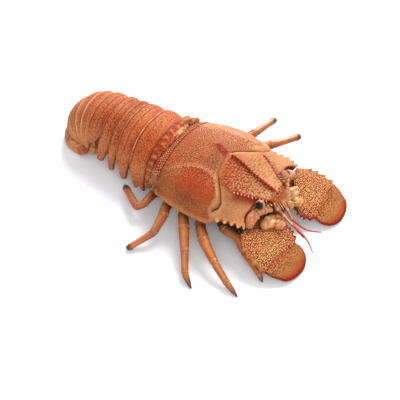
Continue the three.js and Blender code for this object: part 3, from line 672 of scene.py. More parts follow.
def shell_paint(x, y, share):
    """The painted masks of the carapace, and where and how rough its granules stand.

    The roof is the ridge between the two brows, the brim the flat front outside them and the eaves
    the step between; the cheek is the red field behind the neck groove and outside the side crest.
    """
    off = np.abs(x)
    edge = np.abs(share)
    spots = np.stack([x, y, np.zeros(len(x))], 1)
    uneven = drift(spots, 5.0, 11) - 0.5
    mottle = drift(spots, 2.2, 12) - 0.5
    groove, _ = neck_groove(x, y)
    crest, _ = near_line(off, y, SIDE_CREST)
    knob, knob_run = near_line(x, y, KNOB)
    behind = rear_edge(edge) - y
    beaded = y - rear_groove_y(edge)
    socket = np.hypot(off - EYE_PLACE[0], y - EYE_PLACE[1])
    brow = brow_line(y)
    # far is the left half. Over the roof and cheek it is painted paler and less red than the right, partly
    # the shell's own paler colour and partly a painted sheen of the light falling on that side.
    far = rise(x, -1, 3)
    groove_y = np.where(x < 0, groove_y_right(off), groove_y_left(off))
    ahead = rise(groove_y - y, -0.5, 0.5)
    roof = ahead * rise(off, brow + 0.6, brow - 0.2)
    brim = ahead * rise(off, brow + 0.8, brow + 2.2)
    eaves = ahead * rise(off, brow - 0.1, brow + 0.5)
    in_cheek = np.minimum(off - crest_x(y), y - cheek_front(off))
    cheek = rise(in_cheek, 0.2, 1.4) * (1 - ahead)
    back = (1 - ahead) * (1 - rise(in_cheek, -0.4, 0.4))
    band = rise(beaded, -0.1, 0.5) * rise(edge, 0.93, 0.86)
    on_crest = bump(in_cheek, -0.2, 0.75) * (1 - ahead) * rise(y, 15, 8) * rise(off, 31, 27)
    smooth_strip = bump(groove, 0, 1.7)
    between = (1 - ahead) * rise(in_cheek, 0.3, -1.0) * rise(off, 18, 22)
    corner = bump(edge, 0.87, 0.055) * rise(behind, 5, 3.6)
    wave = tooth_wave(y)
    rim = rise(edge, 0.965, 1) * ahead

    red = (0.86 - 0.35 * far) * cheek * rise(y + 7 * uneven + 4 * mottle, 17, -2)
    red *= rise(edge + 0.1 * uneven + 0.06 * mottle, 0.95, 0.72)
    red *= 1 - 0.3 * bump(y, -4, 7) * rise(edge, 0.72, 0.86)
    red += 0.34 * back * (0.8 + uneven) * rise(y, 24, 12) * (1 - 0.4 * far)
    red += 0.3 * back * rise(y, 4, 18)
    red += (0.3 + 0.5 * far) * back * bump(crest, 0, 2.4) * rise(y, -4, -9)
    red += (0.66 - 0.3 * far) * roof * rise(groove, 0.8, 3) * rise(y, -38, -16) * (0.9 + mottle)
    red += 0.4 * ahead * bump(off - brow, 0, 2)
    # Below the step of the brow the shell is painted redder and darker: painted shade under the brow.
    red += 0.85 * eaves * bump(off - brow, 1.6, 2.4) * rise(y, -26, -29)
    red += 0.2 * brim * (0.8 + mottle) + 0.35 * ahead * bump(groove, 3.2, 2.2) * rise(off, 14, 18)
    red += 0.18 * (1 - ahead) * rise(edge, 0.66, 0.8) * (0.8 + mottle)
    red += band * (0.85 + 0.6 * mottle) + 0.4 * rim * rise(wave, 0.2, 0.6)
    red *= 1 - 0.75 * bump(groove, 0, 1.2)

    lip = bump(groove, 1.9, 0.8) * rise(off, 13, 17) * (1 - ahead)
    pale = 0.25 * bump(groove, 1.3, 0.8) + 0.15 * bump(groove, 0, 1.0) * rise(off, 16, 12)
    pale += 0.1 * between * (0.8 + mottle) + 0.5 * lip
    pale += 0.5 * on_crest + 0.4 * (1 - ahead) * bump(edge, 0.993, 0.006)
    pale += 0.5 * roof * rise(y, -24, -42)
    pale += (
        0.5 * far * roof
        + 0.55 * far * (1 - ahead) * rise(off, 14, 20) * (1 - cheek * np.clip(red, 0, 0.5))
    )
    pale += 0.45 * brim + 0.35 * brim * rise(off - brow, 3, 7) * (0.8 + mottle)
    pale += 0.5 * rise(edge, 0.992, 0.998) * (1 - rise(y, -21, -24))
    pale += 0.8 * corner
    pale += 0.9 * rim * rise(wave, 0.3, 0.8)

    on_knob = bump(knob, 0, 2.3) * rise(knob_run, 8.6, 6.6)
    deep = on_knob * (0.85 + 1.4 * mottle + 0.3 * rise(knob_run, 4, 1))
    deep += 0.9 * bump(x, 0, 1.35 + 1.1 * mottle) * ahead * rise(y, -14.4, -16.5) * rise(y, -45.5, -41)
    # brow_shade is the painted shade below the brow step.
    brow_shade = eaves * bump(off - brow, 1.5, 2.3) * rise(y, -26.5, -29) * rise(y, -44, -40)
    deep += 0.8 * brow_shade
    deep += 0.85 * far * bump(crest, 0, 1.1) * rise(y, -5, -8) * (1 - ahead) * (0.8 + 1.5 * mottle)
    # A dark ring round the eye's socket: painted shadow.
    deep += 1.2 * bump(socket, 0, 3.9) * rise(y, -36, -39)
    deep += 0.9 * rise(y - front_edge(edge), 0.8, 0.25) * rise(edge, 0.33, 0.4) * rise(edge, 0.93, 0.88)
    deep += 0.35 * band * (0.7 + 1.2 * mottle)
    deep += 0.9 * rim * rise(wave, 0.35, 0.05) * rise(y, TEETH_START, TEETH_START - 0.8)
    deep += 0.8 * rise(edge, 0.93, 0.97) * bump(y, 15.5, 3) * rise(mottle, -0.1, 0.15)

    dusk = 0.7 * bump(off, 9.5, 5.5) * bump(y, -9, 4.5) * (1 - ahead) * (1 - far)
    dusk += 0.6 * cheek * bump(edge, 0.9, 0.07) * bump(y, -7, 8)
    dusk += 0.3 * (1 - ahead) * rise(y, 4, 16) * rise(edge, 0.6, 0.85) + 0.12 * back * (0.8 + mottle)
    dusk += (
        0.35 * ahead * bump(off - brow, 4.5, 2.6) * bump(y, -29, 5)
        + 0.15 * (1 - ahead) * rise(edge, 0.66, 0.8)
    )
    dusk += 0.6 * ahead * bump(groove, 3, 2.4) * rise(off, 15, 18) * (1 - far) * rise(off, 31, 27)
    dusk += 0.25 * between * (1 - far) + 0.34 * far * brim + 0.4 * brow_shade

    line = 0.85 * bump(groove, 0, 0.3) * (rise(off, 15, 17) * (1 - far) + far * rise(off, 19, 12))
    line += 0.35 * bump(groove, 0, 0.3) * rise(off, 1.5, 3)
    line += 0.85 * bump(beaded, 0, 0.26) * rise(edge, 0.93, 0.85)
    line += 0.5 * corner * bump(edge, 0.9, 0.012)

    height = (
        (0.13 - 0.05 * rise(edge, 0.6, 0.85)) * (1 - ahead) + (0.31 - 0.08 * far) * roof
        + 0.08 * brim
    )
    height *= 1 - 0.85 * smooth_strip
    height *= 1 - 0.6 * between
    height *= 1 - 0.5 * rise(edge, 0.985, 1)
    height += 0.16 * on_knob
    tipped = (
        1 - 0.4 * cheek * np.clip(red, 0, 1) - 0.5 * brim - 0.3 * far * roof
        - 0.4 * on_knob - 0.35 * back
    )
    tipped -= 0.2 * roof
    tipped -= 0.3 * rise(edge, 0.55, 0.8) * (1 - ahead) + 0.25 * roof * rise(y, -27, -17)
    tipped = np.maximum(tipped, 0.2)
    masks = {"flush": red, "pale": pale, "deep": deep, "dusk": dusk, "line": line}
    # painted_sheen: cream brought up on the grain tips of the left half, a painted sheen.
    painted_sheen = far * (0.1 * (1 - ahead) * rise(off, 8, 18) + 0.08 * roof)
    return masks, roof, height, groove, tipped, painted_sheen + rim * rise(wave, 0.45, 0.9)


ARCH_HALF_WIDTH = 36
ARCH_RISE = 20
ARCH_STEPS = 60


def arc_curve():
    """How far round the shell a point lies, in millimetres, from its share of the half width."""
    share = 1 - np.linspace(1, 0, ARCH_STEPS) ** 2
    x, z = share * ARCH_HALF_WIDTH, ARCH_RISE * (1 - share**CROSS_ROUNDNESS) ** CROSS_FULLNESS
    run = np.concatenate([[0], np.cumsum(np.hypot(np.diff(x), np.diff(z)))])
    return lambda edge: np.interp(edge, share, run)


shell_arc = arc_curve()
BACK_GRAIN = 0.95
ROOF_GRAIN = 1.05
ROOF_ROWS = (1, 0.66)  # the roof's granules are longer than they are wide
TOOTH_REACH = 2.5

# What the carapace does ring by ring, from its outer skin (0) round the rim to the hidden closing
# ring (5): its breadth, also under the brim of the head, how far it drops below the outer skin, and
# how near it is to the level underside.
SHELL_BREADTH = np.array([1, 1, 0.985, 0.9, 0.62, 0])
HEAD_BREADTH = np.array([1, 1, 0.985, 0.94, 0.88, 0])
SHELL_DROP = np.array([0, 0.8, SHELL_EDGE, SHELL_EDGE, 0, 0])
SHELL_LEVEL = np.array([0, 0, 0, 0.3, 1, 1])
SHELL_MIDDLE = np.array([0, -12])


def carapace_place(u, v, layer):
    share = np.sign(u) * np.abs(u) ** 0.9
    edge = np.abs(share)
    y = blend(rear_edge(edge), front_edge(edge), v)
    wide = shell_half_width(u, y)
    x = share * wide
    z = shell_height(x, y, wide)
    masks, roof, height, groove, tipped, painted_sheen = shell_paint(x, y, share)
    points = np.stack([x, y, z], 1)
    spread = np.stack([np.sign(u) * shell_arc(edge), y], 1)
    grain = blend(granules(spread, BACK_GRAIN, 3), granules(spread * ROOF_ROWS, ROOF_GRAIN, 5), roof)
    # painted_sheen also brings up the pale tips of the side teeth.
    masks["grain"] = blend(0.45, grain, np.clip(height / 0.1, 0, 1) * tipped) + painted_sheen
    out = height * grain - 0.3 * bump(groove, 0, 0.4) * rise(np.abs(x), 1.5, 3)
    keel = rise(y, -14.8, -17) * rise(y, -47.5, -44.5)
    scale = (y / KEEL_PITCH) % 1
    out += 0.75 * keel * bump(x, 0, 0.35 + 0.75 * scale) * (1 - scale)
    points += shell_normal(x, y, wide) * (out * rise(edge, 1, 0.97))[:, None]
    wave = tooth_wave(y) * rise(edge, 0.94, 1)
    points[:, 0] += np.sign(u) * (TOOTH_REACH * wave - 1.3 * rise(edge, 0.96, 1) * rise(y, -23.2, -24.4))
    points[:, 2] += 0.5 * wave

    # Below the rim the shell turns in to its edge and closes above the legs; under the brim it stays
    # wider where the flesh of the head fills it, and that turned-in skin is painted dark as shade.
    under_brim = rise(y, -22, -27)
    breadth = blend(SHELL_BREADTH[layer], HEAD_BREADTH[layer], under_brim)
    points[:, :2] = SHELL_MIDDLE + (points[:, :2] - SHELL_MIDDLE) * breadth[:, None]
    points[:, 2] = blend(points[:, 2] - SHELL_DROP[layer], CARAPACE_UNDERSIDE, SHELL_LEVEL[layer])
    under = layer > 1
    masks["pale"] = np.where(under, 0.7 * (1 - under_brim), masks["pale"])
    masks["dusk"] = np.where(under, 0.9 * under_brim, masks["dusk"])
    masks["line"] = np.where(under, 0.95 * under_brim, masks["line"])
    masks["grain"] = np.where(under, 0.4, masks["grain"])
    return points, masks


def on_shell(x, y, lift=0.0):
    wide = shell_half_width(x, y)
    return np.array([x, y, float(shell_height(x, y, wide)) + lift])


def along_line(line, start, end, pitch):
    """Points in plan at a pitch along a line, each with its share of the line's length."""
    line = np.array(line, float)
    steps = np.linalg.norm(np.diff(line, axis=0), axis=1)
    run = np.concatenate([[0], np.cumsum(steps)])
    for place in np.arange(start, min(end, run[-1]), pitch):
        i = min(int(np.searchsorted(run, place, side="right")) - 1, len(steps) - 1)
        way = (line[i + 1] - line[i]) / steps[i]
        yield line[i] + way * (place - run[i]), place / run[-1]


BROW_PITCH = 1.85
CREST_PITCH = 1.2
BEAD_PITCH = 1.5
BEAD_ROWS = (0.8, 2.1, 3.4)  # how far behind the rear groove each row of beads lies
REAR_HALF_WIDTH = 31
EYE_NOTCH = ((9.4, -45), (8.4, -46.4), (6.6, -47.4))
ROSTRAL_FINGERS = (  # foot in plan and length
    (5.8, -45.4, 6.4), (4.5, -46.6, 8), (3.1, -47.3, 8.6), (1.7, -47.8, 8.2), (3.8, -45, 6),
    (2.3, -46, 6.6), (0.5, -48, 6.6),
)
FINGER_WAY = (0.1, -0.74, -0.6)


def brow_spines(side, chance):
    """The row along a brow, and the few round the notch of the eye."""
    for y in np.arange(-27, -45, -BROW_PITCH):
        size = chance.uniform(0.8, 1.15)
        foot = on_shell(side * float(brow_line(y)), y)
        yield foot, (side * 0.7, -0.72, 0.12), 2.7 * size, 0.72 * size
    for x, y in EYE_NOTCH:
        yield on_shell(side * x, y), (side * 0.45, -0.88, 0.1), 2.9, 0.68


def crest_spines(side, chance):
    for (x, y), share in along_line(SIDE_CREST, 7, 29, CREST_PITCH):
        lean = (side * (0.5 - 0.4 * share), -0.75, 0.6)
        yield on_shell(side * x, y, -0.1), lean, chance.uniform(0.7, 1.1), 0.4


def rear_beads(side, chance):
    """Rows of beads on the rear border of the carapace, and small spines at its corner."""
    pitch = BEAD_PITCH / REAR_HALF_WIDTH
    for row, behind in enumerate(BEAD_ROWS):
        for across in np.arange(0.012 + 0.5 * (row % 2) * pitch, 0.86, pitch):
            share = across + chance.uniform(-0.006, 0.006)
            y = float(rear_groove_y(share)) + behind + chance.uniform(-0.15, 0.15)
            if y > float(rear_edge(share)) - 0.3:
                continue
            x = side * share * float(half_width(y))
            yield on_shell(x, y, 0.1), (0, 0.3, 1), chance.uniform(0.8, 1.1), 0.56
    for share in np.arange(0.9, 0.995, 0.014):
        y = float(rear_edge(share)) - 0.3
        x = side * share * float(half_width(y))
        yield on_shell(x, y, -0.2), (side * 0.5, 0.8, 0.3), 1.1, 0.4


def keel_spines(chance):
    """The spines along the keel, each with a smaller one on either side."""
    for y in np.arange(-15.8, -46.5, -KEEL_PITCH):
        yield on_shell(0.0, y, 0.3), (0, -0.94, 0.34), 2.5, 0.85
    for y in np.arange(-16.4, -43, -KEEL_PITCH):
        for side in SIDES.values():
            foot = on_shell(side * chance.uniform(0.9, 1.3), y)
            yield foot, (side * 0.3, -0.9, 0.3), chance.uniform(1.4, 2), 0.5


def shell_horns():
    """The small horns that stand on the carapace."""
    chance = np.random.default_rng(7)
    spines, fingers = [], []
    for side in SIDES.values():
        spines += brow_spines(side, chance)
        spines += crest_spines(side, chance)
        spines += rear_beads(side, chance)
        for x, y, length in ROSTRAL_FINGERS:
            fingers.append((on_shell(side * x, y, 0.2), on_side(FINGER_WAY, side), length, 0.7))
    return [horns(spines), horns(fingers, FINGER_HORN), horns(keel_spines(chance), DARK_HORN)]


# ---------------------------------------------------------------------------
# Tail
# ---------------------------------------------------------------------------

CURL_START = 62
CURL_REACH = 41
CURL_STEP = 1.5
CURL_END = CURL_START + 90 / CURL_STEP
TIP_HEIGHT = 4.4
BELLY_HEIGHT = 8.6
SLIT_HEIGHT = 8.6
RING_FULLNESS = 0.87
RING_ARC = 0.47  # millimetres round the tail to a degree

tail_half_width = through((17, 27.5), (30, 26.8), (46, 25), (60, 22.6), (72, 20.6), (84, 19.6), (120, 18.6))
tail_top = through((17, 32.6), (30, 35), (42, 36.4), (CURL_START, 36.2))
curl_foot = through((CURL_START, CURL_START), (77, 76.6), (92, 80), (CURL_END, 82))
curl_foot_height = through((CURL_START, TIP_HEIGHT), (77, SLIT_HEIGHT), (CURL_END, SLIT_HEIGHT))


def tail_ring(station):
    """Half width, foot (y, z) and crown (y, z) of the tail's cross-section at a station."""
    straight = np.minimum(station, CURL_START)
    turn = np.radians(np.maximum(station - CURL_START, 0) * CURL_STEP)
    top = float(tail_top(CURL_START)) - SLIT_HEIGHT
    crown_y = np.where(station <= CURL_START, straight, CURL_START + CURL_REACH * np.sin(turn))
    crown_z = np.where(station <= CURL_START, tail_top(straight), SLIT_HEIGHT + top * np.cos(turn))
    foot_y = np.where(station <= CURL_START, straight, curl_foot(station))
    foot_z = np.where(station <= CURL_START, TIP_HEIGHT, curl_foot_height(station))
    return tail_half_width(station), foot_y, foot_z, crown_y, crown_z


def ring_point(station, angle, out=0.0):
    """A point of a ring, `angle` degrees from its crown, `out` millimetres proud of it."""
    wide, foot_y, foot_z, crown_y, crown_z = tail_ring(station)
    height = np.hypot(crown_y - foot_y, crown_z - foot_z)
    sine = np.sin(np.radians(angle))
    cosine = np.maximum(np.cos(np.radians(angle)), 0)
    x = np.sign(sine) * (wide + out) * np.abs(sine) ** RING_FULLNESS
    reach = (height + out) * cosine**RING_FULLNESS / height
    return np.stack([x, foot_y + (crown_y - foot_y) * reach, foot_z + (crown_z - foot_z) * reach], 1)


# Stations of the front and rear edges, the angle at which the side flaps part, the station of their
# tips, the half width of a tip, how far it hangs down, how deep the front is sunk, where its cross
# groove lies, and how deep that is.
TAIL_SEGMENTS = {
    "tail_segment_1": (18.6, 29.2, 50, 26.6, 1.8, 82, 0.7, 0.5, 0),
    "tail_segment_2": (29.6, 41.6, 58, 33.4, 3.6, 90, 0, 0.6, 0.15),
    "tail_segment_3": (41.9, 53.1, 57, 46.2, 1.5, 90, 0, 0.46, 0.6),
    "tail_segment_4": (53.4, 58.9, 57, 57, 1.4, 90, 0, 0.4, 0.35),
    "tail_segment_5": (59.2, 66.4, 55, 66.6, 1.6, 90, 0, 0.4, 0.5),
    "tail_segment_6": (66.7, 77, 52, 73.9, 2.7, 74, 0, 0.4, 0.6),
}
segment_relief = through((0, -1.3), (0.2, -0.7), (0.42, 0.2), (0.68, 0.95), (0.88, 0.9), (1, 0.2))
TUCKED_BEHIND = 20  # a segment that starts before this station starts below the carapace
INNER_DEPTH = 2.2
BLOTCH_PITCH = 4.6


def tuck_under_shell(points):
    """Presses a segment's front down below the rear border of the carapace."""
    x, y = points[:, 0], points[:, 1]
    wide = half_width(y)
    share = np.minimum(np.abs(x) / wide, 1)
    below = shell_height(x, y, wide) - SHELL_EDGE - 2 * SEAM
    inside = rise(y, rear_edge(share) + 1.6, rear_edge(share) + 0.4)
    points[:, 2] = blend(points[:, 2], np.minimum(points[:, 2], below), inside)


def first_segment_paint(smooth, v, angle, grain):
    """Masks of the segment behind the carapace: red blotches to the rear, cream patches before them."""
    flank = np.abs(angle)
    across = angle * RING_ARC
    ragged = drift(smooth, 1.1, 4) - 0.5
    row = bump((across / BLOTCH_PITCH + 0.15 * ragged) % 1, 0.5, 0.27)
    blotch = rise(row + 0.9 * ragged, 0.2, 0.6) * rise(v + 0.3 * ragged, 0.44, 0.6) * rise(v, 0.97, 0.93)
    veins = 0.6 * rise(row + 0.8 * ragged, 0.3, 0) * rise(v, 0.5, 0.6) * rise(v, 0.95, 0.85)
    patchy = bump((across / (1.25 * BLOTCH_PITCH) + 0.3 + 0.2 * ragged) % 1, 0.5, 0.3)
    streak = rise(angle, -8, 2) * rise(angle, 46, 34)  # a cream streak left of the crown
    patches = rise(patchy + 1.4 * ragged, 0.5, 0.9) * rise(flank, 44, 34)
    cream = np.maximum(0.85 * streak * rise(ragged, -0.3, 0.1), 0.3 * patches)
    cream *= rise(v + 0.1 * ragged, 0.3, 0.38) * rise(v + 0.3 * ragged, 0.64, 0.52)
    mottled = rise(drift(smooth, 1.7, 6), 0.42, 0.6)
    side_plate = rise(flank, 46, 52)
    return {
        "flush": 0.42 + 0.35 * mottled + 0.7 * blotch - 0.9 * cream - 0.3 * veins,
        "pale": (0.25 - 0.2 * mottled) * (1 - blotch) + 0.9 * cream + 0.5 * veins + 0.3 * side_plate,
        "deep": (0.35 * rise(ragged, 0, 0.2) * blotch + 0.6 * rise(v, 0.96, 1)) * (1 - side_plate),
        "grain": np.maximum(0.5 * grain, np.maximum(cream, 0.8 * veins)),
        "dusk": 0.25 * mottled * (1 - blotch) + 0.45 * side_plate,
        "line": 0.4 * side_plate * bump(v, 0.5, 0.04) + 0.8 * rise(v, 0.955, 0.985),
    }


def segment_place(name, front_at, back_at, part, tip, blunt, low, sunk, groove_at, crease):
    """Places a segment by the facts of TAIL_SEGMENTS, with a flap that hangs down on each side."""
    first = front_at < TUCKED_BEHIND
    split = name.endswith("2")  # this segment's flaps end in two points
    seed = 20 + int(name[-1])
    thin = 0.24 / (back_at - front_at)  # a quarter of a millimetre, as a share of the segment

    def place(u, v, layer):
        hang = rise(np.abs(u) * low, part, low)
        notch = 0.05 * bump(v, 0.42, 0.16) * hang if split else 0
        angle = u * low * (1 - notch)
        taper = np.clip((np.abs(angle) - part) / (low - part), 0, 1) ** 1.5
        lead = rear_edge(np.abs(u) * 0.9) - CARAPACE_BACK if first else 0
        front = blend(front_at + lead, tip - blunt, taper)
        back = blend(back_at, tip + blunt, taper)
        station = blend(front, back, v)
        sunk_by = (segment_relief(v) - sunk) * (1 - 0.6 * hang)
        smooth = ring_point(station, angle, sunk_by)

        flank = np.abs(angle)
        uneven = drift(smooth, 6.0, seed) - 0.5
        mottle = drift(smooth, 2.4, seed + 10) - 0.5
        upward = rise(flank, part + 8, part - 8)
        cross = crease * bump(v, groove_at, 1.6 * thin) * upward
        lips = bump(v, groove_at - 4 * thin, 2 * thin) + bump(v, groove_at + 4 * thin, 2 * thin)
        lips = crease * lips * upward
        border = bump(v, 0.86, 1.8 * thin) * rise(flank, part + 14, part)
        crest = rise(v, 0.88, 0.92) * rise(v, 1, 0.97) * np.clip(0.75 + 1.2 * mottle, 0, 1)
        rough = blend(0.06, 0.13, rise(v, 0.05, 0.3)) * (1 - 0.7 * crest) + 0.02 * hang
        spread = np.stack([angle * RING_ARC, station], 1)
        grain = granules(spread, 1.0, seed)
        rim = rise(np.abs(u), 0.985, 1)
        out = sunk_by + rough * grain - 0.3 * cross + 0.12 * lips - 0.34 * border + 0.32 * crest
        upper = ring_point(station, angle, out)
        if first:
            tuck_under_shell(upper)

        inner = ring_point(station, angle, np.full(len(u), -INNER_DEPTH))
        _, foot_y, _, _, _ = tail_ring(station)
        turned = rise(np.abs(angle) / low, 0.72, 0.86)
        furrow = 0.6 * bump(v, 0.5, 0.3)
        flat_z = np.minimum(BELLY_HEIGHT + furrow, upper[:, 2] - 1.6)
        lower = np.stack([
            blend(inner[:, 0] * 0.94, inner[:, 0], turned),
            blend(foot_y, upper[:, 1], turned),
            blend(flat_z, np.maximum(inner[:, 2], upper[:, 2] - 0.4), turned),
        ], 1)
        top = layer == 0
        points = np.where(top[:, None], upper, lower)

        flap = rise(flank, part - 14, part + 8)
        if first:
            masks = first_segment_paint(smooth, v, angle, grain)
        else:
            # Along the crown a segment is painted paler and less red, a painted sheen. Its raised rear crest
            # is pale, partly its own colour and partly a painted highlight, and the dark band at its front is
            # painted shade where it runs under the segment ahead.
            red = (0.56 + 0.8 * uneven + 0.4 * mottle) * (1 - 0.35 * rise(flank, 22, 4) * (1 - crest))
            red = red + 0.4 * rise(v, 0.36, 0.12) * (crease > 0.2) + 0.25 * lips
            grain = blend(0.45, grain, 0.66 * np.clip(rough / 0.1, 0, 1))
            masks = {
                "grain": np.maximum(grain, 0.85 * crest * (1 - flap)),
                "flush": red * (1 - 0.8 * flap) * (1 - 0.5 * crest) + 0.5 * border,
                "pale": (0.6 + mottle) * crest * (1 - 0.4 * flap) + 0.4 * lips + 0.25 * flap
                + 0.2 * rise(flank, 22, 4),
                "deep": 0.6 * rise(v, 0.16, 0) + 0.35 * cross + 0.25 * rim + 0.5 * border,
                "dusk": 0.45 * flap * (0.6 + uneven) + 0.12 * (0.5 + uneven),
                "line": 0.6 * cross + 0.5 * border + 0.4 * rise(v, 0.05, 0),
            }
        return points, upper_only(masks, top, 0.75)

    return place


PLATE_FRONT_STATION = 77.4
hind_relief = through(
    (0, -0.5), (0.08, 0.2), (0.16, 0.9), (0.22, 0.1), (0.33, 0.8), (0.42, 0.2), (0.6, 0.6), (1, 0.2),
)
HIND_RIDGES = (0.155, 0.325, 0.62)
HIND_VALLEYS = (0.21, 0.39, 0.1)


def hind_plate_place(u, v, layer):
    """The plate at the end of the tail, which bends down between its flanks, with cross ridges."""
    angle = u * 90
    station = blend(PLATE_FRONT_STATION, CURL_END, v)
    fade = rise(np.abs(u), 1, 0.8)
    relief = hind_relief(v) * fade
    smooth = ring_point(station, angle, relief)
    uneven = drift(smooth, 6.0, 31) - 0.5
    ridge = sum(bump(v, place, 0.016) for place in HIND_RIDGES) * fade
    mottle = drift(smooth, 2.4, 33) - 0.5
    grain = granules(np.stack([angle * RING_ARC, station], 1), 1.0, 32)
    rough = 0.13 * (1 - np.clip(ridge, 0, 1))
    upper = ring_point(station, angle, relief + rough * grain + 0.2 * ridge)
    wide, foot_y, foot_z, _, _ = tail_ring(station)
    lower = np.stack([u * wide * 0.93, foot_y, foot_z + 1.2 * (1 - v)], 1)
    top = layer == 0
    side = rise(np.abs(u), 0.45, 0.8)
    valley = sum(bump(v, place, 0.035) for place in HIND_VALLEYS) * fade
    masks = {
        "grain": np.maximum(blend(0.45, grain, 0.7), 0.85 * ridge),
        "flush": (0.6 + 0.9 * uneven + 0.4 * mottle + 0.4 * valley) * (1 - 0.6 * side)
        + 0.3 * rise(v, 0.8, 0.95),
        "pale": (0.7 + mottle) * ridge + 0.34 + 0.4 * side * (0.6 + uneven),
        "deep": 0.4 * valley * (1 - side) + 0.5 * rise(v, 0.975, 1) * fade,
        "dusk": 0.2 * side + 0.2 * uneven,
        "line": 0.25 * bump(v, 0.79, 0.012) * fade,
    }
    return np.where(top[:, None], upper, lower), upper_only(masks, top, 0.8)


FAN_LOBES = {  # from which angle round the tail's end to which
    "fan_outer_right": (-90, -43), "fan_inner_right": (-42, -15), "fan_middle": (-14, 14),
    "fan_inner_left": (15, 42), "fan_outer_left": (43, 90),
}
FAN_THICKNESS = 1.5
FAN_FRONT = 2.4
FAN_PUSH = 0.45
FAN_FORWARD = 4.4  # how far the outer lobes reach forward beside the body
FAN_RADIUS = 19
FAN_RIB_ANGLE = 9
fan_spread = through((0, 0.99), (0.25, 1.13), (0.5, 1.18), (0.68, 1.12), (0.82, 0.94), (1, 0.55))
fan_height = through((0, SLIT_HEIGHT - SEAM), (0.25, 5.4), (0.5, 2.2), (0.68, 0.5), (0.8, 0), (1, 0))


def fan_place(start, end):
    """A lobe of the tail fan, folded under the tail: v runs down from the slit and in below it."""
    def place(u, v, layer):
        angle = blend(start, end, (u + 1) / 2)
        corner = rise(np.abs(angle), 68, 90) ** 2
        v = v * (1 - 0.7 * corner)
        spread = fan_spread(v) + 0.02 * (1 - u * u)
        push = 1 + (spread - 1) * np.where(spread > 1, FAN_PUSH, 1)
        rim = ring_point(np.full(len(u), CURL_END), angle)
        foot_y = float(curl_foot(CURL_END))
        top = layer == 0
        rib = bump((angle / FAN_RIB_ANGLE) % 1, 0.5, 0.22) * rise(v, 0.1, 0.3) * rise(v, 1, 0.8)
        inward = np.where(top, 1 - 0.004 * (1 - rib), 1 - FAN_THICKNESS / FAN_RADIUS)
        lift = np.where(top, 0, FAN_THICKNESS * rise(v, 0.35, 0.85))
        forward = FAN_FORWARD * rise(np.abs(angle), 66, 90)
        points = np.stack([
            rim[:, 0] * spread * inward,
            foot_y - FAN_FRONT + (rim[:, 1] - foot_y + FAN_FRONT) * push * inward - forward,
            fan_height(v) + lift,
        ], 1)
        uneven = drift(points, 3.2, 41)
        seam = rise(np.abs(u), 0.9, 0.985)
        front_end = rise(np.abs(angle), 87, 89)
        spots = rise(drift(points, 1.5, 43), 0.55, 0.75)
        masks = {
            "grain": granules(points, 0.8, 42),
            "flush": 0.85 * rise(uneven, 0.5, 0.75) + 0.25 * rib + 0.5 * spots
            + 0.8 * rise(np.abs(angle), 66, 52),
            "pale": 0.55 * rise(uneven, 0.45, 0.2) + 0.35 * seam,
            "deep": 0.7 * front_end + 0.4 * rise(v, 0.09, 0),
            "dusk": 0.5 * rise(v, 0.14, 0.02) + 0.2 * (1 - rib),
            "line": 0.45 * bump(np.abs(u), 0.9, 0.03),
        }
        return points, masks

    return place


WEB_ANGLES = (42, 80)
WEB_STATIONS = (71, 86)
WEB_DEPTH = 1.3
WEB_THICKNESS = 0.9


def web_place(side):
    """Wrinkled skin in the wedge between the last segment's flap and the hind plate."""
    def place(u, v, layer):
        angle = side * blend(*WEB_ANGLES, (u + 1) / 2)
        wrinkle = 0.25 * np.sin(v * 26)
        points = ring_point(blend(*WEB_STATIONS, v), angle, -WEB_DEPTH - WEB_THICKNESS * layer + wrinkle)
        return points, {"pale": 0.5 + 0 * v, "flush": 0.6 * drift(points, 2.2, 8),
                        "dusk": 0.6 * drift(points, 1.6, 9), "deep": 0.4 * drift(points, 1.1, 7)}

    return place


# ---------------------------------------------------------------------------
# Flat antennae
# ---------------------------------------------------------------------------

PLATE_ROOT_Y = -41
PLATE_ROOT_Z = 15
PLATE_SLOPE = 0.37
PLATE_THICKNESS = 1.7
BASE_THICKNESS = 3.6


def plan_curve(*points):
    """A curve in plan through points, with x and y as functions of 0 to 1."""
    steps = np.linspace(0, 1, len(points))
    return tuple(through(*zip(steps, column)) for column in zip(*points))


def patch(edges, u, v):
    """Plan place between four curves that meet at their corners."""
    found = []
    for axis in (0, 1):
        root, end, inner, outer = (edges[name][axis] for name in ("root", "end", "inner", "outer"))
        sides = blend(inner(v), outer(v), u)
        ends = blend(root(u), end(u), v)
        corners = blend(blend(root(0), root(1), u), blend(end(0), end(1), u), v)
        found.append(sides + ends - corners)
    return found


BLADE = {
    "root": plan_curve((8.2, -55.6), (11.4, -53.4), (17, -49.2), (22.6, -44.8), (26.8, -42), (31.6, -41.2)),
    "inner": plan_curve((8.2, -55.6), (6.9, -58.6), (7.9, -62.2), (11.6, -66.6)),
    "outer": plan_curve((31.6, -41.2), (35.8, -46), (38.3, -51), (39.7, -57), (39.8, -62.9)),
    "end": plan_curve((11.6, -66.6), (18, -65.4), (26, -63.8), (33.6, -63.2), (39.8, -62.9)),
}
FAN_BLADE = {
    "root": plan_curve((11.7, -67), (18, -65.8), (26, -64.2), (33.6, -63.6), (39.7, -63.3)),
    "inner": plan_curve((11.7, -67), (11.3, -69.2), (11.8, -71.8)),
    "outer": plan_curve((39.7, -63.3), (38.8, -67.4), (36.8, -71.6)),
    "end": plan_curve((11.8, -71.8), (15, -75.8), (21.8, -78.2), (29.6, -77.4), (35, -74.8), (36.8, -71.6)),
}
BASE = {
    "root": plan_curve((6.4, -44.2), (10.4, -43.8), (18, -42.2), (25.4, -40.2)),
    "inner": plan_curve((6.4, -44.2), (7.2, -50), (9.2, -55.2)),
    "outer": plan_curve((25.4, -40.2), (26, -41), (26.2, -41.8)),
    "end": plan_curve((9.2, -55.2), (11.4, -53.1), (17, -48.7), (22.4, -44.4), (26.2, -41.8)),
}
